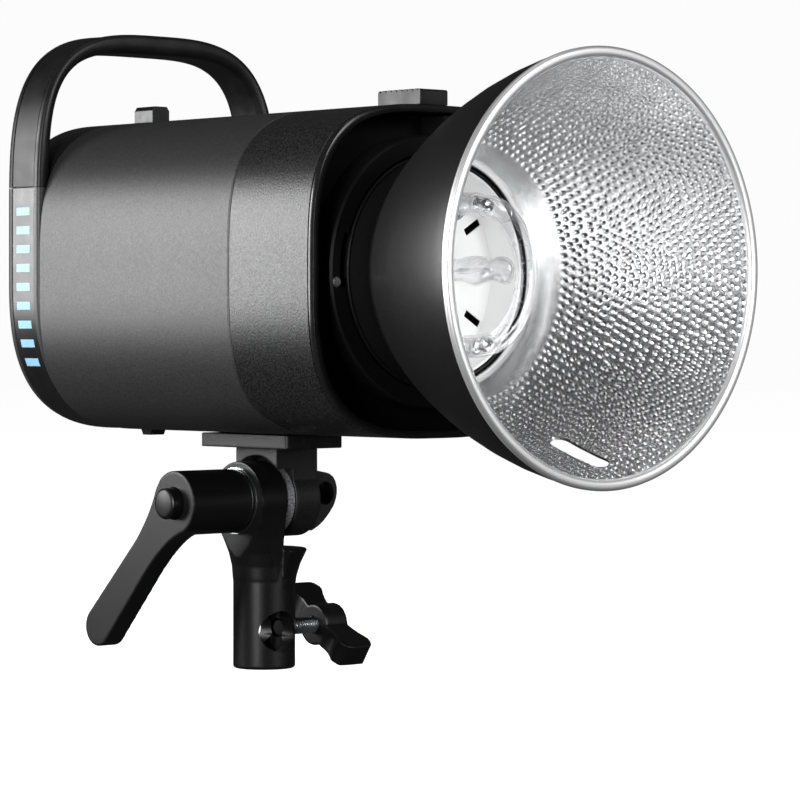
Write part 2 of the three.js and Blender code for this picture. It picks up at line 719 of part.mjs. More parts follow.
const HUB_R = 14.3;
const LEVER = { hub: [-52, -17.4], arm: [-52, -42], tipY: 56.5, tipZ: 17 - PIVOT_Z, tipR: 8.8 };

function leverArm() {
  const { tipY, tipZ, tipR } = LEVER;
  const reach = Math.hypot(tipY, tipZ);
  const lean = Math.atan2(tipZ, tipY);
  const arm = new THREE.Shape();
  arm.moveTo(0, HUB_R);
  arm.absarc(0, 0, HUB_R, Math.PI / 2 + 0.3, -Math.PI / 2 + 0.3 + Math.PI * 2, false);
  arm.quadraticCurveTo(15, -7.6, 36, -7.4);
  arm.lineTo(reach - 1, -tipR);
  arm.absarc(reach - 1, 0, tipR, -Math.PI / 2, Math.PI / 2, false);
  arm.lineTo(32, 7.8);
  arm.quadraticCurveTo(16, 8.6, HUB_R * Math.cos(1.2), HUB_R * Math.sin(1.2));
  return alongX(arm, ...LEVER.arm).rotateX(lean);
}

function lever() {
  const hub = aboutX(rod(HUB_R, ...LEVER.hub, 36));
  const buttonRoom = aboutX(rod(7.3, -53, -38));
  const shaftRoom = aboutX(rod(4.6, -39, -34));
  const coreRoom = aboutX(rod(7.4, -36, -17));
  return cut(join(hub, leverArm()), buttonRoom, shaftRoom, coreRoom);
}

function leverCore() {
  const teeth = 16;
  const outline = [];
  for (let i = 0; i < teeth * 2; i += 1) {
    outline.push(new THREE.Vector2(...polar(i % 2 ? 6.3 : 7, i * 180 / teeth)));
  }
  return cut(alongX(polygon(outline), -35.7, -17.7), aboutX(rod(4.3, -37, -17)));
}

class Helix extends THREE.Curve {
  constructor(radius, from, to, turns) {
    super();
    Object.assign(this, { radius, from, to, turns });
  }

  getPoint(t, target = new THREE.Vector3()) {
    const [y, z] = polar(this.radius, t * this.turns * 360);
    return target.set(this.from + (this.to - this.from) * t, y, z);
  }
}

function leverSpring() {
  const wire = new THREE.Shape().absarc(0, 0, 0.45, 0, Math.PI * 2);
  const extrudePath = new Helix(5.6, -46.1, -42.9, 3);
  const options = { steps: 33, curveSegments: 3, bevelEnabled: false, extrudePath };
  return new THREE.ExtrudeGeometry(wire, options);
}

function pivotScrew() {
  const button = [[0, -58], [5.9, -58], [6.9, -57], [6.9, -46.7], [4, -46.7]];
  return aboutX(turned([...button, [4, 17], [0, 17]], 24));
}

piece(pivot, 'lever_washer', aboutX(pipe(15, 4.6, -17.1, -15.9, 36)), BRIGHT_STEEL);
piece(pivot, 'lever', lever(), PAINT_BLACK);
piece(pivot, 'lever_core', leverCore(), BRIGHT_STEEL);
piece(pivot, 'lever_spring', leverSpring(), BRIGHT_STEEL);
piece(pivot, 'pivot_screw', pivotScrew(), PLASTIC_BLACK);

// ---------- stand socket and its clamp ----------

const base = group(lamp);

// Shelf below the head's knuckle; the ear stands beside it, so it stops at the ear's inner side
function socketFlare() {
  const profile = [[0, 30], [SOCKET_R, 30], [SOCKET_R, 36], [14.6, 41], [16.4, 47], [19.4, 53.2]];
  const flare = aboutZ(turned([...profile, [18.6, 54], [0, 54]]));
  return common(flare, block([-1, 30], [-30, 30], [20, 60]));
}

// Round waist that rounds off the ear's corners where it runs down into the barrel
function earWaist() {
  const profile = [[0, 38], [SOCKET_R, 38], [14.6, 46], [16, 52], [18.1, 57.5], [20.4, 63], [26, 71]];
  return aboutZ(turned([...profile, [32, 80], [32, 96], [0, 96]]));
}

function socketEar() {
  const outline = new THREE.Shape();
  outline.absarc(0, PIVOT_Z, EAR_R, -0.25, Math.PI + 0.25, false);
  outline.quadraticCurveTo(-14.2, 56, -SOCKET_R + 0.4, 40);
  outline.lineTo(SOCKET_R - 0.4, 40);
  outline.quadraticCurveTo(14.2, 56, EAR_R * Math.cos(0.25), PIVOT_Z - EAR_R * Math.sin(0.25));
  return common(alongX(outline, ...EAR_X), earWaist());
}

function standSocket() {
  const barrel = aboutZ(rod(SOCKET_R, 0, 45, ROUND_STEPS));
  const bore = aboutZ(rod(SOCKET_BORE_R, -1, SOCKET_BORE_DEPTH, 32));
  const crossHole = rod(CROSS_HOLE_R, -20, 20, 32).translate(-1.5, 0, CROSS_HOLE_Z);
  const clampHole = aboutX(rod(4.3, 0, 20)).translate(0, 0, CLAMP_Z);
  const pivotHole = aboutX(rod(4.6, -20, 2)).translate(0, 0, PIVOT_Z);
  return cut(join(barrel, socketFlare(), socketEar()), bore, crossHole, clampHole, pivotHole);
}

const clamp = group(lamp, 0, 0, CLAMP_Z);
const KNOB = { hub: [29, 42], hubR: 9.4, wingX: [28, 46], half: 25, thick: 11, lean: 33 };

function clampKnob() {
  const { half, wingX, thick } = KNOB;
  // Side view of the wings: length across, X outwards; the middle dips between the tips.
  const side = new THREE.Shape();
  side.moveTo(-9, 29);
  side.lineTo(9, 29);
  side.quadraticCurveTo(15, 30.5, 19, wingX[0]);
  side.quadraticCurveTo(half, wingX[0], half, 34);
  side.lineTo(half, 41);
  side.quadraticCurveTo(half, wingX[1], 19, wingX[1]);
  side.quadraticCurveTo(11, 41, 0, 40.5);
  side.quadraticCurveTo(-11, 41, -19, wingX[1]);
  side.quadraticCurveTo(-half, wingX[1], -half, 41);
  side.lineTo(-half, 34);
  side.quadraticCurveTo(-half, wingX[0], -19, wingX[0]);
  side.quadraticCurveTo(-15, 30.5, -9, 29);
  const options = { depth: thick, bevelEnabled: false, curveSegments: 6 };
  const turn = new THREE.Matrix4().makeBasis(
    new THREE.Vector3(0, 1, 0),
    new THREE.Vector3(1, 0, 0),
    new THREE.Vector3(0, 0, -1),
  );
  const wings = new THREE.ExtrudeGeometry(side, options).applyMatrix4(turn).translate(0, 0, thick / 2);
  const hub = aboutX(rod(KNOB.hubR, ...KNOB.hub, 24));
  const bore = aboutX(rod(4.1, 28, 34));
  return cut(join(wings.rotateX(degrees(KNOB.lean)), hub), bore);
}

piece(base, 'stand_socket', standSocket(), CAST_BLACK);
piece(clamp, 'clamp_pad', aboutX(rod(3.4, 8.3, 10.3)), BRASS);
piece(clamp, 'clamp_screw', aboutX(rod(3.8, 10.6, 33.7)), BRIGHT_STEEL);
piece(clamp, 'clamp_knob', clampKnob(), PLASTIC_BLACK);

export default lamp;
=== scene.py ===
"""Studio strobe head with a bowl reflector, a hoop handle and a tilting stand bracket.

Shapes are written in millimetres in the row frame: the origin is the centre of the stand
socket's mouth, +Z is up and the lamp fires towards -Y.
"""
import math

import bmesh
import bpy
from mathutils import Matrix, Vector, kdtree


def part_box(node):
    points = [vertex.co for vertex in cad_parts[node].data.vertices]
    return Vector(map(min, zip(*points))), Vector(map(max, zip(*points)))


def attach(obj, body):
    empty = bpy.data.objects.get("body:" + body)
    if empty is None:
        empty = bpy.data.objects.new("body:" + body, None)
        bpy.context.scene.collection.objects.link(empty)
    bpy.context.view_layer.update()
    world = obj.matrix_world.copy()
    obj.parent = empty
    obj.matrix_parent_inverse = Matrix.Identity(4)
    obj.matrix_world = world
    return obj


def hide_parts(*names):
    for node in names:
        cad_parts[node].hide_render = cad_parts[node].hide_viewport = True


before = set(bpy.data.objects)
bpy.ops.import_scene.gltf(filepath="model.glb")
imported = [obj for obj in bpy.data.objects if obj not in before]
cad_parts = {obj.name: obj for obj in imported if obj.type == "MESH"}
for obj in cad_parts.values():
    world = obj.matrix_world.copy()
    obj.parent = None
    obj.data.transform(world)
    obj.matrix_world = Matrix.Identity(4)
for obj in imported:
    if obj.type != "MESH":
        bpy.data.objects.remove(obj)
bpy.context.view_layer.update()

MM = 0.001
SHARP = 32.0          # degrees between faces that still shade as one surface


def span(node):
    """Lowest and highest corner of a CAD node, in millimetres."""
    low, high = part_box(node)
    return low / MM, high / MM


def round_node(node):
    """Corners of a round CAD node whose axis is along Y, with its centre and radius."""
    low, high = span(node)
    centre = ((low.x + high.x) / 2, 0, (low.z + high.z) / 2)
    return low, high, centre, (high.x - low.x) / 2


# ---------- camera ----------

def make_camera():
    data = bpy.data.cameras.new("camera")
    data.lens = 153.0
    data.sensor_width = 36.0
    data.shift_y = -0.0888
    data.clip_end = 50.0
    camera = bpy.data.objects.new("camera", data)
    camera.location = (-0.9851, -1.1777, 0.1526)
    looking = Vector((0.6717, 0.7408, 0.0))
    camera.rotation_euler = looking.to_track_quat("-Z", "Y").to_euler()
    bpy.context.scene.collection.objects.link(camera)
    bpy.context.scene.camera = camera


make_camera()

# ---------- stations and sizes taken from the frame ----------

RIM_Y = span("reflector_bowl")[0].y
BOWL_R = span("reflector_bowl")[1].x
AXIS_Z = span("reflector_bowl")[1].z - BOWL_R
HOUSING_FRONT = span("front_housing")[0].y
HOUSING_REAR = span("front_housing")[1].y
SHELL_FRONT = span("rear_shell")[0].y
SHELL_REAR = span("rear_shell")[1].y
BAND_FRONT = span("lower_band")[0].y
BAND_REAR = span("lower_band")[1].y
BODY_HALF = span("rear_shell")[1].x
SOCKET_TOP = span("stand_socket")[1].z
LEVER_OUT, LEVER_IN = span("lever")[0].x, span("lever")[1].x
PIVOT_Z = (span("lever_washer")[0].z + span("lever_washer")[1].z) / 2
COLLAR_FRONT = -119.5
PLATE_Y = -101.5

BODY_POWER = 3.2      # superellipse exponent of the body's section
CUP_FLOOR = -100.5
CUP_BACK = -97.0
BASE_HOLE_R = 46.3
HOUSING_WALL = 3.4
SHELL_WALL = 2.8


# ---------- mesh helpers ----------

def mesh_from(points, faces, name="part"):
    mesh = bpy.data.meshes.new(name)
    mesh.from_pydata([Vector(p) * MM for p in points], [], faces)
    return tidy_mesh(mesh)


def tidy_mesh(mesh):
    """Merges double points, turns the faces outwards and sets smooth shading."""
    work = bmesh.new()
    work.from_mesh(mesh)
    bmesh.ops.remove_doubles(work, verts=work.verts, dist=2e-6)
    bmesh.ops.dissolve_degenerate(work, edges=work.edges, dist=1e-6)
    bmesh.ops.recalc_face_normals(work, faces=work.faces)
    work.to_mesh(mesh)
    work.free()
    mesh.shade_smooth()
    mesh.set_sharp_from_angle(angle=math.radians(SHARP))
    return mesh


def level_ring(radii, y, x=0.0, z=None):
    """Ring of points at a station along Y, one radius for each of its even steps of angle."""
    z = AXIS_Z if z is None else z
    ring = []
    for k, radius in enumerate(radii):
        turn = 2 * math.pi * k / len(radii)
        ring.append(Vector((x + radius * math.cos(turn), y, z + radius * math.sin(turn))))
    return ring


def turns(steps):
    return [2 * math.pi * k / steps for k in range(steps)]


def skin(rings, closed=False, caps=True):
    """Quads between rings of equal length; closed joins the last ring to the first."""
    count = len(rings[0])
    points = [p for ring in rings for p in ring]
    faces = []
    pairs = len(rings) if closed else len(rings) - 1
    for i in range(pairs):
        a, b = i * count, (i + 1) % len(rings) * count
        for k in range(count):
            n = (k + 1) % count
            faces.append((a + k, a + n, b + n, b + k))
    if caps and not closed:
        faces.append(tuple(range(count)))
        faces.append(tuple(range(len(points) - count, len(points))))
    return points, faces


def to_axis(radial_a, radial_b, station, axis, centre):
    """A point given across and along one of the three axes."""
    cx, cy, cz = centre
    if axis == "Y":
        return Vector((cx + radial_a, station, cz + radial_b))
    if axis == "X":
        return Vector((station, cy + radial_a, cz + radial_b))
    return Vector((cx + radial_a, cy + radial_b, station))


def revolve(profile, axis="Y", centre=(0, 0, 0), steps=96, closed=True):
    """Profile of (radius, station) pairs turned about an axis."""
    rings = []
    for radius, station in profile:
        rings.append([
            to_axis(radius * math.cos(turn), radius * math.sin(turn), station, axis, centre)
            for turn in turns(steps)
        ])
    return mesh_from(*skin(rings, closed=closed, caps=False))


def rod(radius, start, end, axis, centre=(0, 0, 0), steps=96):
    """Solid cylinder from start to end along an axis."""
    outline = [(0, start), (radius, start), (radius, end), (0, end)]
    return revolve(outline, axis, centre, steps, closed=False)


def prism(outline, start, end, axis="X"):
    """Outline of (a, b) pairs carried from start to end: Y, Z along X; X, Z along Y."""
    rings = [[to_axis(a, b, s, axis, (0, 0, 0)) for a, b in outline] for s in (start, end)]
    return mesh_from(*skin(rings))


def block(x, y, z):
    return prism([(y[0], z[0]), (y[1], z[0]), (y[1], z[1]), (y[0], z[1])], *x)


def arc(centre, radius, start, end, steps=24):
    """Points of a circular arc, angles in degrees."""
    points = []
    for k in range(steps + 1):
        turn = math.radians(start + (end - start) * k / steps)
        points.append((centre[0] + radius * math.cos(turn), centre[1] + radius * math.sin(turn)))
    return points


def bend(start, control, end, steps=12):
    """Points of a quadratic curve, without its first point."""
    points = []
    for k in range(1, steps + 1):
        t = k / steps
        weights = ((1 - t) ** 2, 2 * t * (1 - t), t * t)
        points.append(tuple(
            sum(w * p[i] for w, p in zip(weights, (start, control, end))) for i in (0, 1)
        ))
    return points


def rounded(width, height, radius, centre=(0, 0), steps=8):
    """Outline of a rectangle with round corners."""
    points = []
    for sx, sy, turn in ((1, 1, 0), (-1, 1, 90), (-1, -1, 180), (1, -1, 270)):
        corner = (
            centre[0] + sx * (width / 2 - radius), centre[1] + sy * (height / 2 - radius),
        )
        points.extend(arc(corner, radius, turn, turn + 90, steps))
    return points


def shown(mesh, name):
    obj = bpy.data.objects.new(name, mesh)
    bpy.context.scene.collection.objects.link(obj)
    return obj


def settled(obj):
    """The object's mesh with its modifiers applied; the object itself goes."""
    graph = bpy.context.evaluated_depsgraph_get()
    mesh = bpy.data.meshes.new_from_object(obj.evaluated_get(graph))
    bpy.data.objects.remove(obj)
    return mesh


def combined(meshes):
    work = bmesh.new()
    for mesh in meshes:
        work.from_mesh(mesh)
    joined = bpy.data.meshes.new("joined")
    work.to_mesh(joined)
    work.free()
    return joined


def boolean(mesh, tool, operation="DIFFERENCE", solver="MANIFOLD"):
    """mesh less tool, or their common part."""
    obj, cutter = shown(mesh, "work"), shown(tool, "tool")
    step = obj.modifiers.new("boolean", "BOOLEAN")
    step.operation = operation
    step.solver = solver
    step.object = cutter
    result = settled(obj)
    bpy.data.objects.remove(cutter)
    return tidy_mesh(result)


def cut(mesh, *tools):
    for tool in tools:
        mesh = boolean(mesh, tool)
    return mesh


def cast(meshes, grain=0.45, rounds=8):
    """One casting out of overlapping solids, with its inside corners and edges rounded."""
    obj = shown(combined(meshes), "work")
    remesh = obj.modifiers.new("remesh", "REMESH")
    remesh.mode = "VOXEL"
    remesh.voxel_size = grain * MM
    soften = obj.modifiers.new("soften", "SMOOTH")
    soften.factor = 0.5
    soften.iterations = rounds
    return tidy_mesh(settled(obj))


def add_bevel(obj, width, segments=2, angle=30):
    step = obj.modifiers.new("edges", "BEVEL")
    step.width = width * MM
    step.segments = segments
    step.limit_method = "ANGLE"
    step.angle_limit = math.radians(angle)
    step.harden_normals = True
    return obj


# ---------- materials ----------

class Nodes:
    """A material's node tree, with short calls for the few nodes used here."""

    def __init__(self, name, color, roughness, metallic=0.0, specular=0.5, coat=0.0):
        self.material = bpy.data.materials.new(name)
        self.material.use_nodes = True
        self.tree = self.material.node_tree
        self.shader = self.tree.nodes["Principled BSDF"]
        self.shader.inputs["Base Color"].default_value = (*color, 1)
        self.shader.inputs["Roughness"].default_value = roughness
        self.shader.inputs["Metallic"].default_value = metallic
        self.shader.inputs["Specular IOR Level"].default_value = specular
        self.shader.inputs["Coat Weight"].default_value = coat
        self.shader.inputs["Coat Roughness"].default_value = 0.12
        self.place = self.node("ShaderNodeTexCoord").outputs["Object"]
        self.bumped = None

    def node(self, kind):
        return self.tree.nodes.new(kind)

    def link(self, source, target):
        self.tree.links.new(source, target)

    def noise(self, size, detail=2.0, stretch=(1, 1, 1)):
        """Noise with features about size millimetres across, longer along a small stretch."""
        scaled = self.node("ShaderNodeMapping")
        scaled.inputs["Scale"].default_value = tuple(s / (size * MM) for s in stretch)
        self.link(self.place, scaled.inputs["Vector"])
        texture = self.node("ShaderNodeTexNoise")
        texture.inputs["Scale"].default_value = 1.0
        texture.inputs["Detail"].default_value = detail
        self.link(scaled.outputs["Vector"], texture.inputs["Vector"])
        return texture.outputs["Fac"]

    def ramp(self, source, stops):
        """Maps a value to a colour, or to a grey when a stop is one number."""
        made = self.node("ShaderNodeValToRGB")
        self.link(source, made.inputs["Fac"])
        elements = made.color_ramp.elements
        while len(elements) < len(stops):
            elements.new(0.5)
        for element, (position, value) in zip(elements, stops):
            element.position = position
            color = (value,) * 3 if isinstance(value, float) else value
            element.color = (*color, 1)
        return made.outputs["Color"]

    def color(self, source):
        self.link(source, self.shader.inputs["Base Color"])

    def rough(self, source):
        self.link(source, self.shader.inputs["Roughness"])

    def bump(self, source, height, strength=1.0):
        """Adds relief of the given height in millimetres to what is there already."""
        made = self.node("ShaderNodeBump")
        made.inputs["Distance"].default_value = height * MM
        made.inputs["Strength"].default_value = strength
        self.link(source, made.inputs["Height"])
        if self.bumped:
            self.link(self.bumped, made.inputs["Normal"])
        self.bumped = made.outputs["Normal"]
        self.link(self.bumped, self.shader.inputs["Normal"])

    def spun(self, pitch, axis="Y"):
        """Fine turned lines: bands of noise along the axis only."""
        keep = {"X": (1, 0.0, 0.0), "Y": (0.0, 1, 0.0), "Z": (0.0, 0.0, 1)}[axis]
        return self.noise(pitch, 3.0, keep)


def grey(value):
    return (value, value, value * 1.03)


def painted(name, low, high, speck, roughness, height, metallic=0.0, specular=0.5):
    """Textured paint: fine specks of two tones, a little uneven in gloss."""
    made = Nodes(name, grey((low + high) / 2), roughness, metallic, specular)
    specks = made.noise(speck, 2.0)
    made.color(made.ramp(specks, [(0.36, grey(low)), (0.5, grey((low + high) / 2)), (0.66, grey(high))]))
    drift = made.noise(2.2, 4.0)
    made.rough(made.ramp(drift, [(0.3, roughness * 0.95), (0.7, roughness * 1.05)]))
    made.bump(specks, height)
    return made.material


def plastic(name, value, roughness, grain=0.35, height=0.02, specular=0.5, coat=0.0):
    """Moulded plastic with a fine spark-eroded grain."""
    made = Nodes(name, grey(value), roughness, 0.0, specular, coat)
    texture = made.noise(grain, 2.0)
    cloud = made.noise(9.0, 3.0)
    made.color(made.ramp(cloud, [(0.3, grey(value * 0.85)), (0.7, grey(value * 1.15))]))
    made.rough(made.ramp(cloud, [(0.3, roughness * 0.88), (0.7, roughness * 1.12)]))
    made.bump(texture, height)
    return made.material


def metal(name, color, roughness, pitch=0.25, axis="Y", height=0.004):
    """Turned or drawn metal with fine lines and small scuffs."""
    made = Nodes(name, color, roughness, 1.0)
    lines = made.spun(pitch, axis)
    scuffs = made.noise(3.0, 5.0)
    dark = tuple(c * 0.86 for c in color)
    made.color(made.ramp(scuffs, [(0.35, dark), (0.6, color)]))
    made.rough(made.ramp(lines, [(0.3, roughness * 0.75), (0.7, roughness * 1.3)]))
    made.bump(lines, height)
    return made.material


def glass(name, roughness=0.02, tint=(0.96, 0.985, 0.99)):
    made = Nodes(name, tint, roughness, 0.0, 0.5)
    made.shader.inputs["Transmission Weight"].default_value = 1.0
    made.shader.inputs["IOR"].default_value = 1.46
    waves = made.noise(6.0, 1.0)
    made.bump(waves, 0.05)
    return made.material


PAINT_GREY = painted("paint_grey", 0.034, 0.060, 0.75, 0.42, 0.03, 0.4)
PAINT_DARK = painted("paint_dark", 0.005, 0.036, 0.85, 0.33, 0.07, 0.3)
LIP_BLACK = plastic("lip_black", 0.010, 0.20, 0.6, 0.004, 0.5)
CUP_BLACK = plastic("cup_black", 0.005, 0.46, 0.5, 0.02, 0.15)
ARCH_BLACK = plastic("arch_black", 0.007, 0.38, 0.45, 0.014, 0.3)
BAND_GREY = painted("band_grey", 0.030, 0.052, 0.6, 0.42, 0.03, 0.2)
INLAY = plastic("inlay_black", 0.010, 0.30, 0.6, 0.006, 0.5)
PANEL_BLACK = plastic("panel_black", 0.012, 0.42, 0.4, 0.03, 0.4)
RUBBER = plastic("rubber", 0.012, 0.75, 0.8, 0.05, 0.3)
# Near-black, almost unreflecting sheet behind the lamp base's slots: painted shade for the dark inside.
SLOT_SHADE_BLACK = plastic("slot_shade_black", 0.0012, 0.9, 0.8, 0.02, 0.02)
CAST_PAINT = painted("cast_paint", 0.006, 0.026, 0.55, 0.42, 0.07, 0.15, 0.35)
SOCKET_PAINT = painted("socket_paint", 0.003, 0.009, 0.5, 0.36, 0.03, 0.0, 0.25)
LEVER_PAINT = painted("lever_paint", 0.004, 0.009, 0.3, 0.40, 0.012, 0.0, 0.3)
KNOB_BLACK = plastic("knob_black", 0.005, 0.34, 0.4, 0.012, 0.3)
SPUN_BLACK = painted("spun_black", 0.004, 0.009, 0.4, 0.40, 0.006, 0.0, 0.35)
STEEL = metal("steel", (0.74, 0.75, 0.77), 0.26)
STEEL_X = metal("steel_across", (0.74, 0.75, 0.77), 0.24, 0.3, "X")
ALUMINIUM = metal("aluminium", (0.82, 0.83, 0.85), 0.34, 0.5, "Z")
COPPER = metal("copper", (0.78, 0.42, 0.25), 0.35, 0.6, "X", 0.05)


def thin_glass(name, tint, edge, clear):
    """Clear thin glass: seen straight through, with reflections that grow toward its edges."""
    made = Nodes(name, tint, 0.03, 0.0, 0.5)
    through = made.node("ShaderNodeBsdfTransparent")
    through.inputs["Color"].default_value = (*clear, 1)
    mirror = made.node("ShaderNodeBsdfGlossy")
    mirror.inputs["Color"].default_value = (*tint, 1)
    mirror.inputs["Roughness"].default_value = 0.04
    facing = made.node("ShaderNodeLayerWeight")
    facing.inputs["Blend"].default_value = edge
    mixed = made.node("ShaderNodeMixShader")
    waves = made.node("ShaderNodeBump")
    waves.inputs["Distance"].default_value = 0.06 * MM
    made.link(made.noise(6.0, 1.0), waves.inputs["Height"])
    made.link(waves.outputs["Normal"], mirror.inputs["Normal"])
    made.link(facing.outputs["Facing"], mixed.inputs["Fac"])
    made.link(through.outputs["BSDF"], mixed.inputs[1])
    made.link(mirror.outputs["BSDF"], mixed.inputs[2])
    output = made.tree.nodes["Material Output"]
    made.link(mixed.outputs["Shader"], output.inputs["Surface"])
    return made.material


CLEAR = thin_glass("clear_glass", (0.9, 0.9, 0.9), 0.22, (0.975, 0.98, 0.98))


def silver_material():
    """Bright anodised inside of the bowl, a little uneven in tone."""
    made = Nodes("bowl_silver", (0.9, 0.905, 0.915), 0.2, 1.0)
    cloud = made.noise(14.0, 3.0)
    made.color(made.ramp(cloud, [(0.3, (0.84, 0.845, 0.855)), (0.7, (0.94, 0.945, 0.95))]))
    fine = made.noise(0.5, 2.0)
    made.rough(made.ramp(fine, [(0.3, 0.17), (0.7, 0.27)]))
    made.bump(fine, 0.01)
    return made.material


def rim_material():
    made = Nodes("rim_silver", (0.97, 0.97, 0.975), 0.42, 0.85)
    lines = made.spun(0.5)
    made.rough(made.ramp(lines, [(0.3, 0.36), (0.7, 0.48)]))
    made.bump(lines, 0.01)
    return made.material


def ceramic_with_painted_glow():
    made = Nodes("white_ceramic", (0.86, 0.86, 0.85), 0.42, 0.0, 0.5)
    cloud = made.noise(11.0, 4.0)
    made.color(made.ramp(cloud, [(0.3, (0.86, 0.86, 0.855)), (0.7, (0.94, 0.94, 0.94))]))
    # Painted light: the white ceramic glows faintly by itself, a painted fill that lifts the shade on
    # the lamp base and holder; it is no lamp.
    made.shader.inputs["Emission Color"].default_value = (1, 1, 1, 1)
    made.shader.inputs["Emission Strength"].default_value = 0.16
    made.bump(made.noise(0.6, 3.0), 0.02)
    return made.material


def sensor_material():
    """Smoked translucent plastic."""
    made = Nodes("sensor_smoke", (0.14, 0.145, 0.15), 0.4, 0.0, 0.4)
    made.shader.inputs["Transmission Weight"].default_value = 0.12
    made.color(made.ramp(made.noise(5.0, 3.0), [(0.3, grey(0.10)), (0.7, grey(0.18))]))
    made.bump(made.noise(0.4, 2.0), 0.02)
    return made.material


def washer_material():
    """Grey friction lining with a coarse sparkle."""
    made = Nodes("washer_grey", grey(0.4), 0.5, 0.6)
    specks = made.noise(0.7, 3.0)
    made.color(made.ramp(specks, [(0.35, grey(0.16)), (0.65, grey(0.62))]))
    made.bump(specks, 0.12)
    return made.material


def board_material():
    made = Nodes("board_green", (0.02, 0.11, 0.05), 0.45, 0.0, 0.5)
    tracks = made.noise(2.5, 0.0, (1, 0.2, 1))
    made.color(made.ramp(tracks, [(0.48, (0.015, 0.09, 0.04)), (0.52, (0.03, 0.16, 0.07))]))
    made.bump(tracks, 0.03)
    return made.material


def mark_material():
    made = Nodes("mark_blue", (0.33, 0.62, 0.86), 0.4)
    made.color(made.ramp(made.noise(2.0, 3.0), [(0.3, (0.30, 0.58, 0.83)), (0.7, (0.36, 0.66, 0.9))]))
    made.bump(made.noise(0.5, 2.0), 0.01)
    return made.material


MARK_BLUE = mark_material()
SILVER = silver_material()
RIM = rim_material()
CERAMIC_PAINTED_GLOW = ceramic_with_painted_glow()
SENSOR = sensor_material()
WASHER = washer_material()
BOARD = board_material()


# ---------- putting pieces on the frame ----------

def mount(mesh, name, body, finish, slot, *nodes):
    """Shows a mesh as a piece on a body, in place of the named CAD nodes."""
    obj = shown(mesh, name)
    mesh.materials.clear()
    for material in finish if isinstance(finish, (list, tuple)) else [finish]:
        mesh.materials.append(material)
    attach(obj, body)
    if nodes:
        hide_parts(*nodes)
    return obj


def second_finish(obj, test, index=1):
    """Gives another of the object's materials to the faces whose centre passes the test."""
    for face in obj.data.polygons:
        if test(Vector(face.center) / MM):
            face.material_index = index


def dress(node, material, bevel=0.0, sharp=SHARP):
    """Keeps a CAD node as it is, with a material and fine edges."""
    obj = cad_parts[node]
    obj.data.materials.clear()
    obj.data.materials.append(material)
    obj.data.shade_smooth()
    obj.data.set_sharp_from_angle(angle=math.radians(sharp))
    if bevel:
        add_bevel(obj, bevel)
    return obj


# ---------- body ----------

SECTION_STEPS = 240


def squircle_ring(half, power, y, steps=SECTION_STEPS):
    """Superellipse at a station, spaced evenly by angle, so a circle matches it point by point."""
    radii = []
    for turn in turns(steps):
        c, s = abs(math.cos(turn)), abs(math.sin(turn))
        radii.append(half / (c ** power + s ** power) ** (1 / power))
    return level_ring(radii, y)


def housing_mesh():
    inner = BODY_HALF - HOUSING_WALL
    front = HOUSING_FRONT
    stations = [
        (BASE_HOLE_R, 2.0, CUP_BACK),
        (BASE_HOLE_R, 2.0, CUP_FLOOR),
        (inner - 1.6, BODY_POWER, CUP_FLOOR),
        (inner - 0.4, BODY_POWER, CUP_FLOOR - 0.7),
        (inner, BODY_POWER, CUP_FLOOR - 2.2),
        (inner, BODY_POWER, front + 1.0),
        (inner + 0.3, BODY_POWER, front + 0.3),
        (inner + 0.9, BODY_POWER, front),
        (BODY_HALF - 1.2, BODY_POWER, front),
        (BODY_HALF - 0.4, BODY_POWER, front + 0.3),
        (BODY_HALF, BODY_POWER, front + 1.1),
        (BODY_HALF, BODY_POWER, front + 2.9),
        (BODY_HALF - 0.35, BODY_POWER, front + 3.1),
        (BODY_HALF - 0.35, BODY_POWER, front + 3.6),
        (BODY_HALF, BODY_POWER, front + 3.8),
        (BODY_HALF, BODY_POWER, -90.0),
        (BODY_HALF, BODY_POWER, HOUSING_REAR - 0.7),
        (BODY_HALF - 0.5, BODY_POWER, HOUSING_REAR),
        (inner, BODY_POWER, HOUSING_REAR),
        (inner, BODY_POWER, CUP_BACK),
    ]
    rings = [squircle_ring(*station) for station in stations]
    return mesh_from(*skin(rings, closed=True))


def shell_mesh():
    stations = [
        (BODY_HALF - SHELL_WALL, BODY_POWER, SHELL_FRONT),
        (BODY_HALF - 0.5, BODY_POWER, SHELL_FRONT),
        (BODY_HALF, BODY_POWER, SHELL_FRONT + 0.7),
        (BODY_HALF, BODY_POWER, 5.0),
        (BODY_HALF, BODY_POWER, SHELL_REAR - 0.5),
        (BODY_HALF - 0.4, BODY_POWER, SHELL_REAR),
        (BODY_HALF - SHELL_WALL, BODY_POWER, SHELL_REAR),
    ]
    rings = [squircle_ring(*station) for station in stations]
    return mesh_from(*skin(rings, closed=True))


housing = mount(
    housing_mesh(), "housing_shell", "head", [PAINT_DARK, LIP_BLACK, CUP_BLACK],
    "painted_black", "front_housing",
)


def section_reach(p):
    """Half width of the squircle that passes through a point."""
    return (abs(p.x) ** BODY_POWER + abs(p.z - AXIS_Z) ** BODY_POWER) ** (1 / BODY_POWER)


def housing_lip(p):
    return p.y < HOUSING_FRONT + 3.1


def housing_cup(p):
    return section_reach(p) < BODY_HALF - HOUSING_WALL + 0.2 and p.y > HOUSING_FRONT + 1.0


second_finish(housing, housing_lip)
second_finish(housing, housing_cup, 2)
mount(shell_mesh(), "rear_body_shell", "head", PAINT_GREY, "painted_grey", "rear_shell")

# ---------- hoop: arch handle and lower band ----------

ARCH_SPRING = 26.0
ARCH_RISE = 86.5
ARCH_GRIP = 9.0
ARCH_POWER = 3.3
GRIP_POWER = 4.0
BAND_WALL = 7.6
BAND_POWER = 2.8
HOOP_SEAM = 40.0
STRIP_MARGIN = 3.6
STRIP_DEPTH = 1.4
ARCH_STEPS = 96
BAND_STEPS = 110


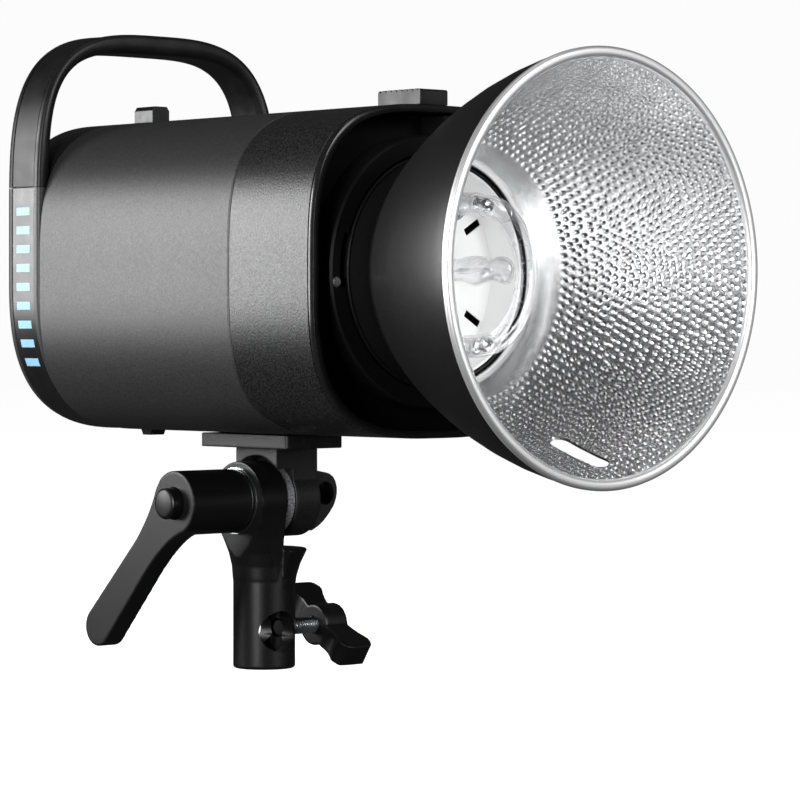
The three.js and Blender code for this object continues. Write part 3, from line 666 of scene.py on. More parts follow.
def super_half_width(half, rise, power, height):
    return half * (1 - (height / rise) ** power) ** (1 / power)


def super_point(half, rise, power, turn, centre=0.0):
    c, s = math.cos(turn), math.sin(turn)
    radius = 1 / ((abs(c) / half) ** power + (abs(s) / rise) ** power) ** (1 / power)
    return Vector((radius * c, 0, centre + radius * s))


def side_pair(height, side):
    """Outer and inner point of the hoop at a height, on one side of the body."""
    inner_half = BODY_HALF - BAND_WALL
    if height < 0:
        outer = super_half_width(BODY_HALF, BODY_HALF, BAND_POWER, -height)
        inner = super_half_width(inner_half, inner_half, BAND_POWER, -height)
    else:
        above = max(height - ARCH_SPRING, 0)
        outer = super_half_width(BODY_HALF, ARCH_RISE, ARCH_POWER, above)
        inner = super_half_width(inner_half, ARCH_RISE - ARCH_GRIP, GRIP_POWER, above)
    return Vector((side * outer, 0, height)), Vector((side * inner, 0, height))


def arch_stations(seam):
    """Pairs of outer and inner points of the arch from one side to the other, above seam."""
    inner_half, inner_rise = BODY_HALF - BAND_WALL, ARCH_RISE - ARCH_GRIP
    start = math.degrees(math.atan2(seam - ARCH_SPRING + 4, inner_half))
    pairs = []
    for k in range(ARCH_STEPS + 1):
        turn = math.radians(start + (180 - 2 * start) * k / ARCH_STEPS)
        pairs.append((
            super_point(BODY_HALF, ARCH_RISE, ARCH_POWER, turn, ARCH_SPRING),
            super_point(inner_half, inner_rise, GRIP_POWER, turn, ARCH_SPRING),
        ))
    return [side_pair(seam, 1)] + pairs + [side_pair(seam, -1)]


def band_stations(seam):
    """The same for the band that runs round below the seam."""
    inner_half = BODY_HALF - BAND_WALL
    heights = [seam - seam * k / 8 for k in range(9)]
    pairs = [side_pair(height, -1) for height in heights]
    for k in range(1, BAND_STEPS):
        turn = math.radians(180 + 180 * k / BAND_STEPS)
        pairs.append((
            super_point(BODY_HALF, BODY_HALF, BAND_POWER, turn),
            super_point(inner_half, inner_half, BAND_POWER, turn),
        ))
    return pairs + [side_pair(height, 1) for height in reversed(heights)]


def sweep_hoop(stations, section):
    """Carries a section round the hoop. Section points are (depth, from, y): depth in
    millimetres from the outer side, or from the inner side when from is "in"."""
    rings = []
    for outer, inner in stations:
        across = inner - outer
        thick = across.length
        ring = []
        for depth, side, y in section:
            share = depth / thick if side == "out" else 1 - depth / thick
            point = outer + across * share
            ring.append(Vector((point.x, y, AXIS_Z + point.z)))
        rings.append(ring)
    return mesh_from(*skin(rings))


def hoop_section(groove):
    """Section of the hoop, with round edges and a groove for the cover strip."""
    front, rear = BAND_FRONT, BAND_REAR
    section = [("out", 2.0, 0.0), ("out", 0.9, 0.35), ("out", 0.35, 0.9), ("out", 0.0, 2.0)]
    points = [(depth, side, front + y) for side, depth, y in section]
    if groove:
        low, high = front + STRIP_MARGIN, rear - STRIP_MARGIN
        points += [(0.0, "out", low - 0.25), (0.25, "out", low), (STRIP_DEPTH, "out", low)]
        points += [(STRIP_DEPTH, "out", high), (0.25, "out", high), (0.0, "out", high + 0.25)]
    points += [(depth, side, rear - y) for side, depth, y in reversed(section)]
    inner = [(4.2, 0.0), (2.7, 0.3), (1.4, 1.0), (0.5, 2.1), (0.1, 3.4), (0.0, 5.0)]
    points += [(depth, "in", rear - y) for depth, y in inner]
    points += [(depth, "in", front + y) for depth, y in reversed(inner)]
    return points


def strip_section():
    low = BAND_FRONT + STRIP_MARGIN + 0.28
    high = BAND_REAR - STRIP_MARGIN - 0.28
    bottom, top = STRIP_DEPTH - 0.05, 0.18
    return [
        (bottom, "out", low), (top + 0.35, "out", low), (top, "out", low + 0.4),
        (top, "out", high - 0.4), (top + 0.35, "out", high), (bottom, "out", high),
    ]


SEAM_GAP = 0.3
mount(
    sweep_hoop(arch_stations(HOOP_SEAM + SEAM_GAP), hoop_section(True)),
    "handle_hoop", "head", ARCH_BLACK, "black_plastic", "handle_arch",
)
mount(
    sweep_hoop(arch_stations(HOOP_SEAM + 0.6), strip_section()),
    "handle_cover_strip", "head", ARCH_BLACK, "black_plastic", "handle_cover",
)
mount(
    sweep_hoop(band_stations(HOOP_SEAM), hoop_section(True)),
    "lower_hoop_band", "head", BAND_GREY, "grey_plastic", "lower_band",
)
mount(
    sweep_hoop(band_stations(HOOP_SEAM - 0.3), strip_section()),
    "band_inlay_strip", "head", INLAY, "marked_strip", "band_inlay",
)


MARKS_A_SIDE = 9
MARK_TOP = 31.0
MARK_PITCH = 8.6
MARK_LENGTH = 3.6
MARK_MARGIN = 7.2


def mark_meshes():
    """Plain level bars printed down both sides of the inlay."""
    low, high = BAND_FRONT + MARK_MARGIN, BAND_REAR - MARK_MARGIN
    section = [(0.2, "out", low), (0.1, "out", low), (0.1, "out", high), (0.2, "out", high)]
    bars = []
    for side in (-1, 1):
        for index in range(MARKS_A_SIDE):
            top = MARK_TOP - index * MARK_PITCH
            stations = [side_pair(top - MARK_LENGTH * k / 3, side) for k in range(4)]
            bars.append(sweep_hoop(stations, section))
    return combined(bars)


mount(tidy_mesh(mark_meshes()), "inlay_marks", "head", MARK_BLUE, "marked_strip")


# ---------- sensor, foot and rear panel ----------

def sensor_mesh():
    low, high = span("slave_sensor")
    top = high.z
    front = [
        (low.x, low.z), (high.x, low.z), (high.x, top - 2.0), (high.x - 1.4, top),
        (low.x + 1.4, top), (low.x, top - 2.0),
    ]
    return prism(front, low.y, high.y, "Y")


def sensor_cap(p):
    """The chamfered top and the front of the sensor are black."""
    return p.z > AXIS_Z + 77.7 or p.y < span("slave_sensor")[0].y + 0.3


sensor = mount(
    sensor_mesh(), "optical_sensor", "head", [SENSOR, ARCH_BLACK], "clear_plastic", "slave_sensor",
)
add_bevel(sensor, 0.35, 3, 50)
second_finish(sensor, sensor_cap)

dress("bottom_foot", RUBBER, 0.4)


def hoop_reach(turn, half, rise):
    """Distance from the axis to the inner side of the hoop in one direction."""
    c, s = math.cos(turn), math.sin(turn)
    if s < 0:
        return half / (abs(c) ** BAND_POWER + abs(s) ** BAND_POWER) ** (1 / BAND_POWER)
    near, far = 0.0, 140.0
    for _ in range(40):
        reach = (near + far) / 2
        above = max(reach * s - ARCH_SPRING, 0)
        if (reach * abs(c) / half) ** GRIP_POWER + (above / rise) ** GRIP_POWER < 1:
            near = reach
        else:
            far = reach
    return near


BEZEL_OPENING = 56.5


def bezel_mesh():
    """Ring between the hoop and the rear panel, following the body's section on top."""
    low, high = span("rear_bezel")
    inner = BEZEL_OPENING
    stations = [
        (0.0, low.y), (0.0, high.y - 1.6), (0.5, high.y - 0.5), (1.6, high.y),
    ]
    rings = []
    for step, y in stations + [(None, high.y), (None, low.y)]:
        radii = []
        for turn in turns(SECTION_STEPS):
            c, s = abs(math.cos(turn)), abs(math.sin(turn))
            round_section = 1 / (c ** BODY_POWER + s ** BODY_POWER) ** (1 / BODY_POWER)
            if step is None:
                reach = inner * round_section
            else:
                limit = hoop_reach(turn, BODY_HALF - BAND_WALL - 0.3, ARCH_RISE - ARCH_GRIP - 0.3)
                reach = min(BODY_HALF * round_section, limit) - step
            radii.append(reach)
        rings.append(level_ring(radii, y))
    return mesh_from(*skin(rings, closed=True))


mount(bezel_mesh(), "rear_frame", "head", ARCH_BLACK, "black_plastic", "rear_bezel")
DRESSED = (
    ("rear_panel", PANEL_BLACK, 0.0), ("switch_frame", PANEL_BLACK, 0.3),
    ("power_rocker", KNOB_BLACK, 0.5), ("mains_inlet", PANEL_BLACK, 0.0),
    ("fuse_holder", PANEL_BLACK, 0.0), ("fuse_cap", KNOB_BLACK, 0.2), ("sync_jack", STEEL, 0.0),
    ("encoder_shaft", STEEL, 0.0), ("bulkhead", ALUMINIUM, 0.0), ("fan_frame", PANEL_BLACK, 0.0),
    ("fan_rotor", KNOB_BLACK, 0.0), ("main_board", BOARD, 0.0), ("transformer", COPPER, 0.5),
    ("heat_sink", ALUMINIUM, 0.0), ("latch_pin", STEEL, 0.0), ("lever_washer", STEEL_X, 0.15),
    ("lever_core", STEEL_X, 0.0), ("lever_spring", STEEL_X, 0.0), ("clamp_pad", KNOB_BLACK, 0.3),
)
for node, material, bevel in DRESSED:
    dress(node, material, bevel)
for index in (1, 2, 3):
    dress(f"flash_capacitor_{index}", ARCH_BLACK, 0.8)
    dress(f"mount_screw_{index}", STEEL)


def display_material():
    """Dark glass over a screen that is off, with a faint pattern of cells."""
    made = Nodes("display_glass", (0.01, 0.014, 0.02), 0.08, 0.0, 0.5, 0.6)
    cells = made.node("ShaderNodeTexVoronoi")
    cells.inputs["Scale"].default_value = 90.0
    made.link(made.place, cells.inputs["Vector"])
    tones = [(0.2, (0.014, 0.02, 0.028)), (0.8, (0.008, 0.011, 0.016))]
    made.color(made.ramp(cells.outputs["Distance"], tones))
    return made.material


dress("display_window", display_material(), 0.3)


def button_mesh(node):
    low, high, centre, radius = round_node(node)
    profile = [
        (0.0, low.y), (radius, low.y), (radius, high.y - 0.9), (radius - 0.25, high.y - 0.3),
        (radius - 0.8, high.y), (radius * 0.6, high.y - 0.25), (0.0, high.y - 0.4),
    ]
    return revolve(profile, "Y", centre, 48, closed=False)


for index in range(1, 5):
    node = f"button_{index}"
    mount(button_mesh(node), f"panel_button_{index}", f"key_{index}", KNOB_BLACK, "black_plastic", node)


def dial_mesh():
    low, high, centre, radius = round_node("dial_cap")
    grips = 36
    stations = [
        (0.0, low.y, 0.0), (radius - 0.8, low.y, 0.0), (radius - 0.1, low.y + 0.5, 0.4),
        (radius, low.y + 1.0, 0.6), (radius - 0.1, high.y - 2.4, 0.6),
        (radius - 0.7, high.y - 1.5, 0.3), (radius - 1.9, high.y - 0.4, 0.0),
        (radius - 3.4, high.y, 0.0), (radius - 4.6, high.y - 0.5, 0.0), (0.0, high.y - 0.9, 0.0),
    ]
    rings = []
    for reach, y, groove in stations:
        waves = [max(0.0, math.cos(turn * grips)) ** 2 for turn in turns(grips * 8)]
        rings.append(level_ring([reach - groove * wave for wave in waves], y, centre[0], centre[2]))
    return mesh_from(*skin(rings, caps=False))


mount(dial_mesh(), "power_dial", "dial", KNOB_BLACK, "black_plastic", "dial_cap")

# ---------- reflector ----------

BOWL_LINEAR = 0.1444
BOWL_SQUARE = 0.00321
BOWL_DEPTH = 93.0
BOWL_SHEET = 1.2
NECK_R = 48.6
BOWL_STEPS = 1080
HAMMER_FROM = 4.5
HAMMER_TO = 83.3


def bowl_radius(depth):
    return BOWL_R - BOWL_LINEAR * depth - BOWL_SQUARE * depth * depth


def bowl_slope(depth):
    return -BOWL_LINEAR - 2 * BOWL_SQUARE * depth


def scatter(index, salt):
    """A fixed number from -1 to 1 for an index: the same on every run."""
    value = math.sin(index * 12.9898 + salt * 78.233) * 43758.5453
    return 2 * (value - math.floor(value)) - 1


def hammer_marks():
    """Centres of the raised marks, in rows round the bowl, as points in the bowl's frame."""
    marks = []
    row, along = 0, HAMMER_TO - 1.6
    while along > HAMMER_FROM + 1.0:
        radius = bowl_radius(along) - BOWL_SHEET
        count = round(2 * math.pi * radius / 3.6)
        neat = 0.12 if row == 0 else 0.72
        for k in range(count):
            key = row * 1009 + k
            depth = along + neat * scatter(key, 1)
            turn = 2 * math.pi * (k + 0.5 * (row % 2) + 0.2 * neat * scatter(key, 2)) / count
            r = bowl_radius(depth) - BOWL_SHEET
            marks.append((r * math.cos(turn), depth, r * math.sin(turn)))
        slant = math.hypot(1, bowl_slope(along))
        along -= 3.3 / slant
        row += 1
    return marks


MARK_RADIUS = 1.16
MARK_HEIGHT = 0.5


def mark_height(distance):
    if distance >= MARK_RADIUS:
        return 0.0
    share = distance / MARK_RADIUS
    return MARK_HEIGHT * (1 - share ** 3)


def bowl_mesh():
    marks = hammer_marks()
    tree = kdtree.KDTree(len(marks))
    for index, mark in enumerate(marks):
        tree.insert(mark, index)
    tree.balance()
    neck_end = 103.5
    profile = []
    fine = 0.54
    count = int((HAMMER_TO - HAMMER_FROM) / fine)
    for k in range(count + 1):
        depth = HAMMER_FROM + (HAMMER_TO - HAMMER_FROM) * k / count
        profile.append((bowl_radius(depth) - BOWL_SHEET, depth, True))
    for depth in (84.0, 86.0, 88.0, 90.5, 93.0):
        profile.append((bowl_radius(depth) - BOWL_SHEET, depth, False))
    profile += [(NECK_R - BOWL_SHEET, 95.0, False), (NECK_R - BOWL_SHEET, neck_end, False)]
    profile += [(NECK_R, neck_end, False), (NECK_R, 95.6, False), (NECK_R + 0.3, 94.4, False)]
    for depth in (92.0, 88.0, 83.0, 77.0, 70.0, 62.0, 53.0, 43.0, 32.0, 20.0, 10.0, 4.0):
        profile.append((bowl_radius(depth), depth, False))
    profile.append((bowl_radius(3.0) - 0.1, 3.0, False))
    profile.append((bowl_radius(3.0) - BOWL_SHEET, 3.0, False))
    rings = []
    for radius, depth, hammered in profile:
        slope = bowl_slope(depth)
        length = math.hypot(1, slope)
        ring = []
        for turn in turns(BOWL_STEPS):
            r, along = radius, depth
            if hammered:
                spot = (r * math.cos(turn), depth, r * math.sin(turn))
                lift = mark_height(tree.find(spot)[2])
                r -= lift / length
                along += lift * slope / length
            ring.append(Vector((r * math.cos(turn), RIM_Y + along, AXIS_Z + r * math.sin(turn))))
        rings.append(ring)
    return mesh_from(*skin(rings, closed=True))


SLOT = {"angle": -75.0, "from": 23.0, "to": 52.0, "width": 9.0}


def slot_cutter(grow=0.0):
    """Long hole with round ends, pushed out through the wall at its angle."""
    half = SLOT["width"] / 2 + grow
    ends = (SLOT["from"] + SLOT["width"] / 2, SLOT["to"] - SLOT["width"] / 2)
    outline = arc((ends[1], 0), half, -90, 90, 16) + arc((ends[0], 0), half, 90, 270, 16)
    turn = math.radians(SLOT["angle"])
    out = Vector((math.cos(turn), 0, math.sin(turn)))
    side = Vector((-math.sin(turn), 0, math.cos(turn)))
    centre = Vector((0, RIM_Y, AXIS_Z))
    rings = [
        [centre + out * reach + side * b + Vector((0, a, 0)) for a, b in outline]
        for reach in (60.0, 100.0)
    ]
    return mesh_from(*skin(rings))


def rim_mesh():
    """Rolled bead round the mouth, with a fine step inside it."""
    centre = (0, 0, AXIS_Z)
    wall = bowl_radius(3.4)
    profile = [
        (85.3, RIM_Y + 2.9), (85.2, RIM_Y + 2.0), (85.35, RIM_Y + 1.25), (85.8, RIM_Y + 0.6),
        (86.5, RIM_Y + 0.15), (87.3, RIM_Y), (88.4, RIM_Y), (89.2, RIM_Y + 0.2),
        (89.75, RIM_Y + 0.75), (90.0, RIM_Y + 1.5), (89.95, RIM_Y + 2.4), (wall + 0.12, RIM_Y + 3.3),
        (wall - 0.4, RIM_Y + 3.4), (wall - BOWL_SHEET - 0.1, RIM_Y + 3.4), (86.6, RIM_Y + 3.4),
    ]
    return revolve(profile, "Y", centre, 360)


bowl = mount(
    cut(bowl_mesh(), slot_cutter()), "reflector_dish", "reflector", [SPUN_BLACK, SILVER],
    "silver_reflector", "reflector_bowl",
)


def inside_bowl(p):
    depth = p.y - RIM_Y
    reach = math.hypot(p.x, p.z - AXIS_Z)
    limit = bowl_radius(depth) if depth < BOWL_DEPTH else NECK_R
    return reach < limit - BOWL_SHEET * 0.5


second_finish(bowl, inside_bowl)
mount(rim_mesh(), "reflector_rim", "reflector", RIM, "silver_reflector")


def adapter_mesh():
    """Black sleeve behind the bowl with its bayonet ring."""
    centre = (0, 0, AXIS_Z)
    y = [RIM_Y + s for s in (97.5, 97.9, 103.8, 113.0)]
    profile = [
        (45.9, y[0] + 0.4), (46.2, y[0]), (46.8, y[0]), (47.1, y[1]), (47.1, y[2]), (49.4, y[2]),
        (49.8, y[2] + 0.4), (49.8, y[3] - 0.5), (49.4, y[3]), (46.3, y[3]), (45.9, y[3] - 0.4),
    ]
    return revolve(profile, "Y", centre, 200)


mount(
    adapter_mesh(), "reflector_sleeve", "reflector", SOCKET_PAINT, "cast_black", "reflector_mount_ring",
)

LUG_ANGLES = (30.0, 150.0, 270.0)


def wedge(inner, outer, start, end, angle, spread):
    outline = arc((0, 0), inner, angle - spread, angle + spread, 8)
    outline += arc((0, 0), outer, angle + spread, angle - spread, 8)
    return prism([(a, AXIS_Z + b) for a, b in outline], start, end, "Y")


LUG_FRONT, LUG_REAR = -109.2, -105.2
LUG_INNER, LUG_OUTER = 49.0, 53.0
for index, angle in enumerate(LUG_ANGLES):
    lug = mount(
        wedge(LUG_INNER, LUG_OUTER, LUG_FRONT, LUG_REAR, angle, 11.0),
        f"bayonet_lug_{index + 1}", "reflector", STEEL, "steel",
    )
    add_bevel(lug, 0.3)


def mount_ring_mesh():
    """Ring with a chamfered face, an inner groove and three notches for the lugs."""
    front, rear = span("mount_ring")[0].y, span("mount_ring")[1].y
    profile = [
        (50.4, front + 0.5), (50.9, front), (57.6, front), (58.5, front + 0.9), (58.5, rear),
        (50.4, rear), (50.4, -104.0), (53.4, -104.0), (53.4, -109.7), (50.4, -109.7),
    ]
    ring = revolve(profile, "Y", (0, 0, AXIS_Z), 180)
    notches = [wedge(49.0, 53.4, front - 1, -108.7, a + 25, 12.5) for a in LUG_ANGLES]
    pin = span("latch_pin")
    slot = block((pin[0].x - 0.3, pin[1].x + 0.3), (-111.5, -100.0), (AXIS_Z + 48, AXIS_Z + 60))
    return cut(ring, *notches, slot)


mount(mount_ring_mesh(), "bayonet_ring", "head", SOCKET_PAINT, "cast_black", "mount_ring")
dress("latch_housing", CUP_BLACK)


def slider_mesh():
    """Release button whose top has rounded ridges across it."""
    low, high = span("release_slider")
    top, foot = high.z, AXIS_Z + 71.3
    front, rear = low.y, high.y
    side = [(front, foot), (rear, foot), (rear, top - 1.2)]
    side += arc((rear - 1.2, top - 1.2), 1.2, 10, 80, 4)
    groove = [(0.0, 0.75), (0.1, 0.78), (0.16, 0.3), (0.26, 0.03)]
    groove += [(0.4, 0.0), (0.76, 0.0), (0.9, 0.03), (0.96, 0.3)]
    ridges = 7
    pitch = (rear - front - 3.4) / ridges
    for k in range(ridges):
        start = rear - 1.7 - k * pitch
        side += [(start - pitch * share, top - depth) for share, depth in groove]
    side += [(front + 1.7, top - 0.75)] + arc((front + 1.2, top - 1.2), 1.2, 100, 170, 4)
    return prism(side, low.x, high.x)


slider = mount(
    slider_mesh(), "release_button", "latch", ARCH_BLACK, "black_plastic", "release_slider",
)
add_bevel(slider, 0.35, 2, 50)

# ---------- lamp ----------

VENT_ANGLES = (31, -31, 149, -149, 56, 124)
TUBE_CENTRE = Vector((1.5, 0, AXIS_Z - 1.5))
TUBE_ARC_R = 31.5
TUBE_ARC_Y = -135.5
TUBE_R = 5.0
TUBE_END_ANGLE = 75.0
LEG_FOOT_Y = -102.5


def vent_prisms(half, front, back):
    """The base's slots as solids, of a given half width."""
    made = []
    for angle in VENT_ANGLES:
        turn = math.radians(angle)
        out, side = Vector((math.cos(turn), math.sin(turn))), Vector((-math.sin(turn), math.cos(turn)))
        corners = [(33.8, -half), (43.5, -half), (43.5, half), (33.8, half)]
        outline = [out * a + side * b for a, b in corners]
        made.append(prism([(p.x, AXIS_Z + p.y) for p in outline], front, back, "Y"))
    return made


def base_plate_mesh():
    y = PLATE_Y
    rear = span("base_plate")[1].y
    edge = COLLAR_FRONT
    profile = [
        (0.0, PLATE_Y), (43.6, PLATE_Y), (44.2, PLATE_Y - 0.2), (44.4, PLATE_Y - 0.8),
        (44.4, edge + 0.3), (44.7, edge), (45.3, edge), (45.6, edge + 0.3), (45.6, PLATE_Y),
        (45.9, PLATE_Y), (45.9, y + 4.8), (49.5, y + 4.8), (49.5, rear), (0.0, rear),
    ]
    plate = revolve(profile, "Y", (0, 0, AXIS_Z), 180, closed=False)
    return cut(plate, *vent_prisms(1.65, y - 2, rear + 2))


mount(base_plate_mesh(), "lamp_base", "head", CERAMIC_PAINTED_GLOW, "white_ceramic", "base_plate")


def slot_shade_mesh():
    """Near-black sheet just behind the base, with a filler set back in each slot: painted shade that
    stands in for the dark inside seen through the slots.
    """
    y = span("base_plate")[1].y + 0.3
    profile = [(30.0, y), (46.0, y), (46.0, y + 0.8), (30.0, y + 0.8)]
    ring = revolve(profile, "Y", (0, 0, AXIS_Z), 96)
    return combined([ring] + vent_prisms(1.6, PLATE_Y + 0.4, y + 0.2))


mount(slot_shade_mesh(), "vent_slot_shade", "head", SLOT_SHADE_BLACK, "black_plastic")


def tube_point(share):
    """Centre line of the flash tube, from one foot round the arc to the other."""
    side = 1 if share < 0.5 else -1
    along = (share if share < 0.5 else 1 - share) * 2
    leg_share = 0.3
    foot_x = TUBE_ARC_R * math.cos(math.radians(TUBE_END_ANGLE))
    foot_z = TUBE_ARC_R * math.sin(math.radians(TUBE_END_ANGLE))
    if along < leg_share:
        y = LEG_FOOT_Y + (TUBE_ARC_Y + 7 - LEG_FOOT_Y) * along / leg_share
        return TUBE_CENTRE + Vector((foot_x, y, side * foot_z))
    turn = (along - leg_share) / (1 - leg_share)
    angle = math.radians(side * TUBE_END_ANGLE * (1 - turn))
    curl = min(1.0, turn / 0.2)
    y = TUBE_ARC_Y + 7 * (1 - math.sin(curl * math.pi / 2))
    return TUBE_CENTRE + Vector((TUBE_ARC_R * math.cos(angle), y, TUBE_ARC_R * math.sin(angle)))


def smoothed(points, rounds):
    for _ in range(rounds):
        inner = [(a + b * 2 + c) / 4 for a, b, c in zip(points, points[1:], points[2:])]
        points = [points[0]] + inner + [points[-1]]
    return points


def frames_along(points):
    """Two directions across a line at each of its points, carried along without twist."""
    across = []
    ahead = (points[1] - points[0]).normalized()
    first = ahead.orthogonal().normalized()
    for k in range(len(points)):
        after = points[min(k + 1, len(points) - 1)] - points[max(k - 1, 0)]
        after.normalize()
        first = (first - after * first.dot(after)).normalized()
        across.append((first.copy(), after.cross(first)))
    return across


def tube_rings(points, radii, steps=40, start=0.0):
    rings = []
    for point, radius, (u, v) in zip(points, radii, frames_along(points)):
        ring = []
        for k in range(steps):
            turn = 2 * math.pi * k / steps + start
            ring.append(point + u * (radius * math.cos(turn)) + v * (radius * math.sin(turn)))
        rings.append(ring)
    return rings


TUBE_LINE = smoothed([tube_point(k / 160) for k in range(161)], 10)


def flash_tube_mesh():
    """Glass tube: the outer wall, then back along the bore, closed at both ends."""
    outside = tube_rings(TUBE_LINE, [TUBE_R - 0.1] * len(TUBE_LINE))
    inside = tube_rings(TUBE_LINE, [TUBE_R - 1.3] * len(TUBE_LINE))
    return mesh_from(*skin(outside + inside[::-1], closed=True))


def wire_mesh(points, radius, steps=8):
    points = [Vector(p) for p in points]
    return mesh_from(*skin(tube_rings(points, [radius] * len(points), steps)))


def trigger_points():
    """Thin wire wound openly round the glass."""
    line = TUBE_LINE[26:-26]
    points = []
    turns, steps = 7, 36
    across = frames_along(line)
    count = turns * steps
    for k in range(count + 1):
        place = k / count * (len(line) - 1)
        index = min(int(place), len(line) - 2)
        part = place - index
        point = line[index].lerp(line[index + 1], part)
        u, v = across[index]
        turn = 2 * math.pi * k / steps
        points.append(point + (u * math.cos(turn) + v * math.sin(turn)) * TUBE_R)
    return points


mount(flash_tube_mesh(), "flash_tube_glass", "head", CLEAR, "clear_glass", "flash_tube")
mount(wire_mesh(trigger_points(), 0.13, 6), "trigger_wire", "head", STEEL, "steel")


def electrode_mesh(end):
    """Rod and coiled tip inside one end of the glass."""
    line = TUBE_LINE if end == 0 else TUBE_LINE[::-1]
    stem = wire_mesh(line[:24], 0.8, 16)
    tip = line[12:32]
    coils = [3.3 if (k // 2) % 2 else 2.6 for k in range(len(tip) - 2)]
    bead = mesh_from(*skin(tube_rings(tip, [0.6] + coils + [1.8], 32)))
    return combined([stem, bead])


for index, name in enumerate(("upper", "lower")):
    mount(tidy_mesh(electrode_mesh(index)), f"electrode_{name}", "head", STEEL, "steel")


def tube_socket_mesh(node):
    """Clip collar round a tube end: sleeve, flared lip and a bead."""
    low, high, centre, _ = round_node(node)
    front, rear = low.y, high.y
    profile = [
        (5.65, front + 0.3), (5.9, front), (6.7, front), (7.2, front + 0.6), (7.2, front + 2.2),
        (6.5, front + 2.7), (6.5, front + 5.2), (7.0, front + 5.7), (7.0, front + 7.6),
        (6.5, front + 8.1), (6.5, rear - 1.6), (7.2, rear - 1.1), (7.2, rear), (5.65, rear),
    ]
    sleeve = revolve(profile, "Y", centre, 64)
    splits = []
    for turn in (40, 160, 280):
        out = Vector((math.cos(math.radians(turn)), math.sin(math.radians(turn))))
        side = Vector((-out.y, out.x)) * 0.35
        start, end = out * 4, out * 9
        outline = [start - side, end - side, end + side, start + side]
        shifted = [(p.x + centre[0], p.y + centre[2]) for p in outline]
        splits.append(prism(shifted, front - 1, front + 7, "Y"))
    return cut(sleeve, *splits)


for name in ("upper", "lower"):
    node = f"tube_socket_{name}"
    mount(tube_socket_mesh(node), f"tube_clip_{name}", "head", STEEL, "steel", node)


def lamp_socket_mesh():
    low, high = span("lamp_socket")
    radius = (high.x - low.x) / 2
    profile = [
        (0.0, low.y + 1.5), (7.2, low.y + 1.5), (7.6, low.y + 0.3), (8.2, low.y),
        (radius - 0.8, low.y), (radius, low.y + 0.8), (radius, high.y), (0.0, high.y),
    ]
    return revolve(profile, "Y", (0, 0, AXIS_Z), 96, closed=False)


mount(lamp_socket_mesh(), "lamp_holder", "head", CERAMIC_PAINTED_GLOW, "white_ceramic", "lamp_socket")


BULB_TWIST = 0.16      # radians of twist for each millimetre of the bulb


def modelling_lamp_mesh():
    """Clear bulb with two lobes that twist along it, and a bore of its own."""
    low, high = span("modelling_lamp")
    radius = (high.x - low.x) / 2
    front, rear = low.y, high.y
    shape = [
        (rear, 0.86), (rear - 3, 0.9), (rear - 6, 0.97), (rear - 12, 1.0), (rear - 18, 1.0),
        (rear - 24, 1.0), (rear - 30, 1.0), (rear - 36, 1.0), (rear - 42, 0.99), (front + 5.5, 0.97),
        (front + 3.5, 0.88), (front + 1.8, 0.7), (front + 0.7, 0.45), (front, 0.12),
    ]

    def wall(scale, shrink):
        rings = []
        for first, second in zip(shape, shape[1:] + shape[-1:]):
            for part in (0.0, 0.25, 0.5, 0.75):
                y = first[0] + (second[0] - first[0]) * part
                share = first[1] + (second[1] - first[1]) * part
                reach = radius * share * scale - shrink
                lobes = [math.cos(2 * (turn - (y - rear) * BULB_TWIST)) for turn in turns(64)]
                radii = [max(reach * (0.84 + 0.16 * lobe), 0.05) for lobe in lobes]
                rings.append(level_ring(radii, y))
                if first is shape[-1]:
                    break
        return rings

    outside, inside = wall(1.0, 0.0), wall(1.0, 0.9)
    inside = [[Vector((p.x, p.y + 0.5, p.z)) for p in ring] for ring in inside]
    return combined([mesh_from(*skin(outside)), mesh_from(*skin(inside))])


def helix(centre_y, length, radius, turns, steps=16):
    points = []
    for k in range(turns * steps + 1):
        turn = 2 * math.pi * k / steps
        y = centre_y - length / 2 + length * k / (turns * steps)
        points.append((radius * math.cos(turn), y, AXIS_Z + radius * math.sin(turn)))
    return points


mount(modelling_lamp_mesh(), "modelling_bulb", "head", CLEAR, "clear_glass", "modelling_lamp")
mount(wire_mesh(helix(-138.0, 20.0, 1.1, 22), 0.16), "filament", "head", STEEL, "steel")
for index, offset in enumerate((-2.2, 2.2)):
    path = [(offset, y, AXIS_Z) for y in (-111.0, -118.0, -124.0)]
    path += [(offset * 0.5, -127.5, AXIS_Z), (offset * 0.4, -128.4, AXIS_Z)] if index else [
        (offset, -140.0, AXIS_Z), (offset, -147.0, AXIS_Z), (offset * 0.4, -148.4, AXIS_Z)]
    mount(wire_mesh(path, 0.35, 10), f"filament_support_{index + 1}", "head", STEEL, "steel")


# ---------- tilt bracket ----------

CAST_GRAIN = 0.42


def bracket_mesh():
    pivot = (0, 0, PIVOT_Z)
    plate_low, plate_top = 99.5, span("tilt_bracket")[1].z
    plate = prism(rounded(33.0, 61.0, 2.0, (0, -5.0)), plate_low, plate_top, "Z")
    neck = block((-4.7, 19.6), (-14.3, 14.3), (PIVOT_Z + 6, plate_low + 1))
    room = rod(20, -10, 5, "X", pivot)
    profile = [(0, 5), (16.4, 5), (17, 5.6), (17, 19), (16.4, 19.6), (0, 19.6)]
    knuckle = revolve(profile, "X", pivot, 96, closed=False)
    outline = [(18.6, -14.5)]
    outline += bend((18.6, -14.5), (26, -12), (32, -3.8))
    outline += bend((32, -3.8), (35.4, 1.6), (33.6, 7))
    outline += bend((33.6, 7), (32, 11), (27.5, 11.8))
    outline += [(18.6, 13.5)]
    boss = prism([(x, PIVOT_Z + z) for x, z in outline], -11.0, 11.0, "Y")
    body = cast([plate, cut(neck, room), knuckle, boss], CAST_GRAIN, 3)
    umbrella_hole = rod(5.3, -20, 20, "Y", (27.0, 0, PIVOT_Z + 2.3), 48)
    screw_hole = rod(4.5, 0, 17.5, "X", pivot, 32)
    return cut(body, umbrella_hole, screw_hole)


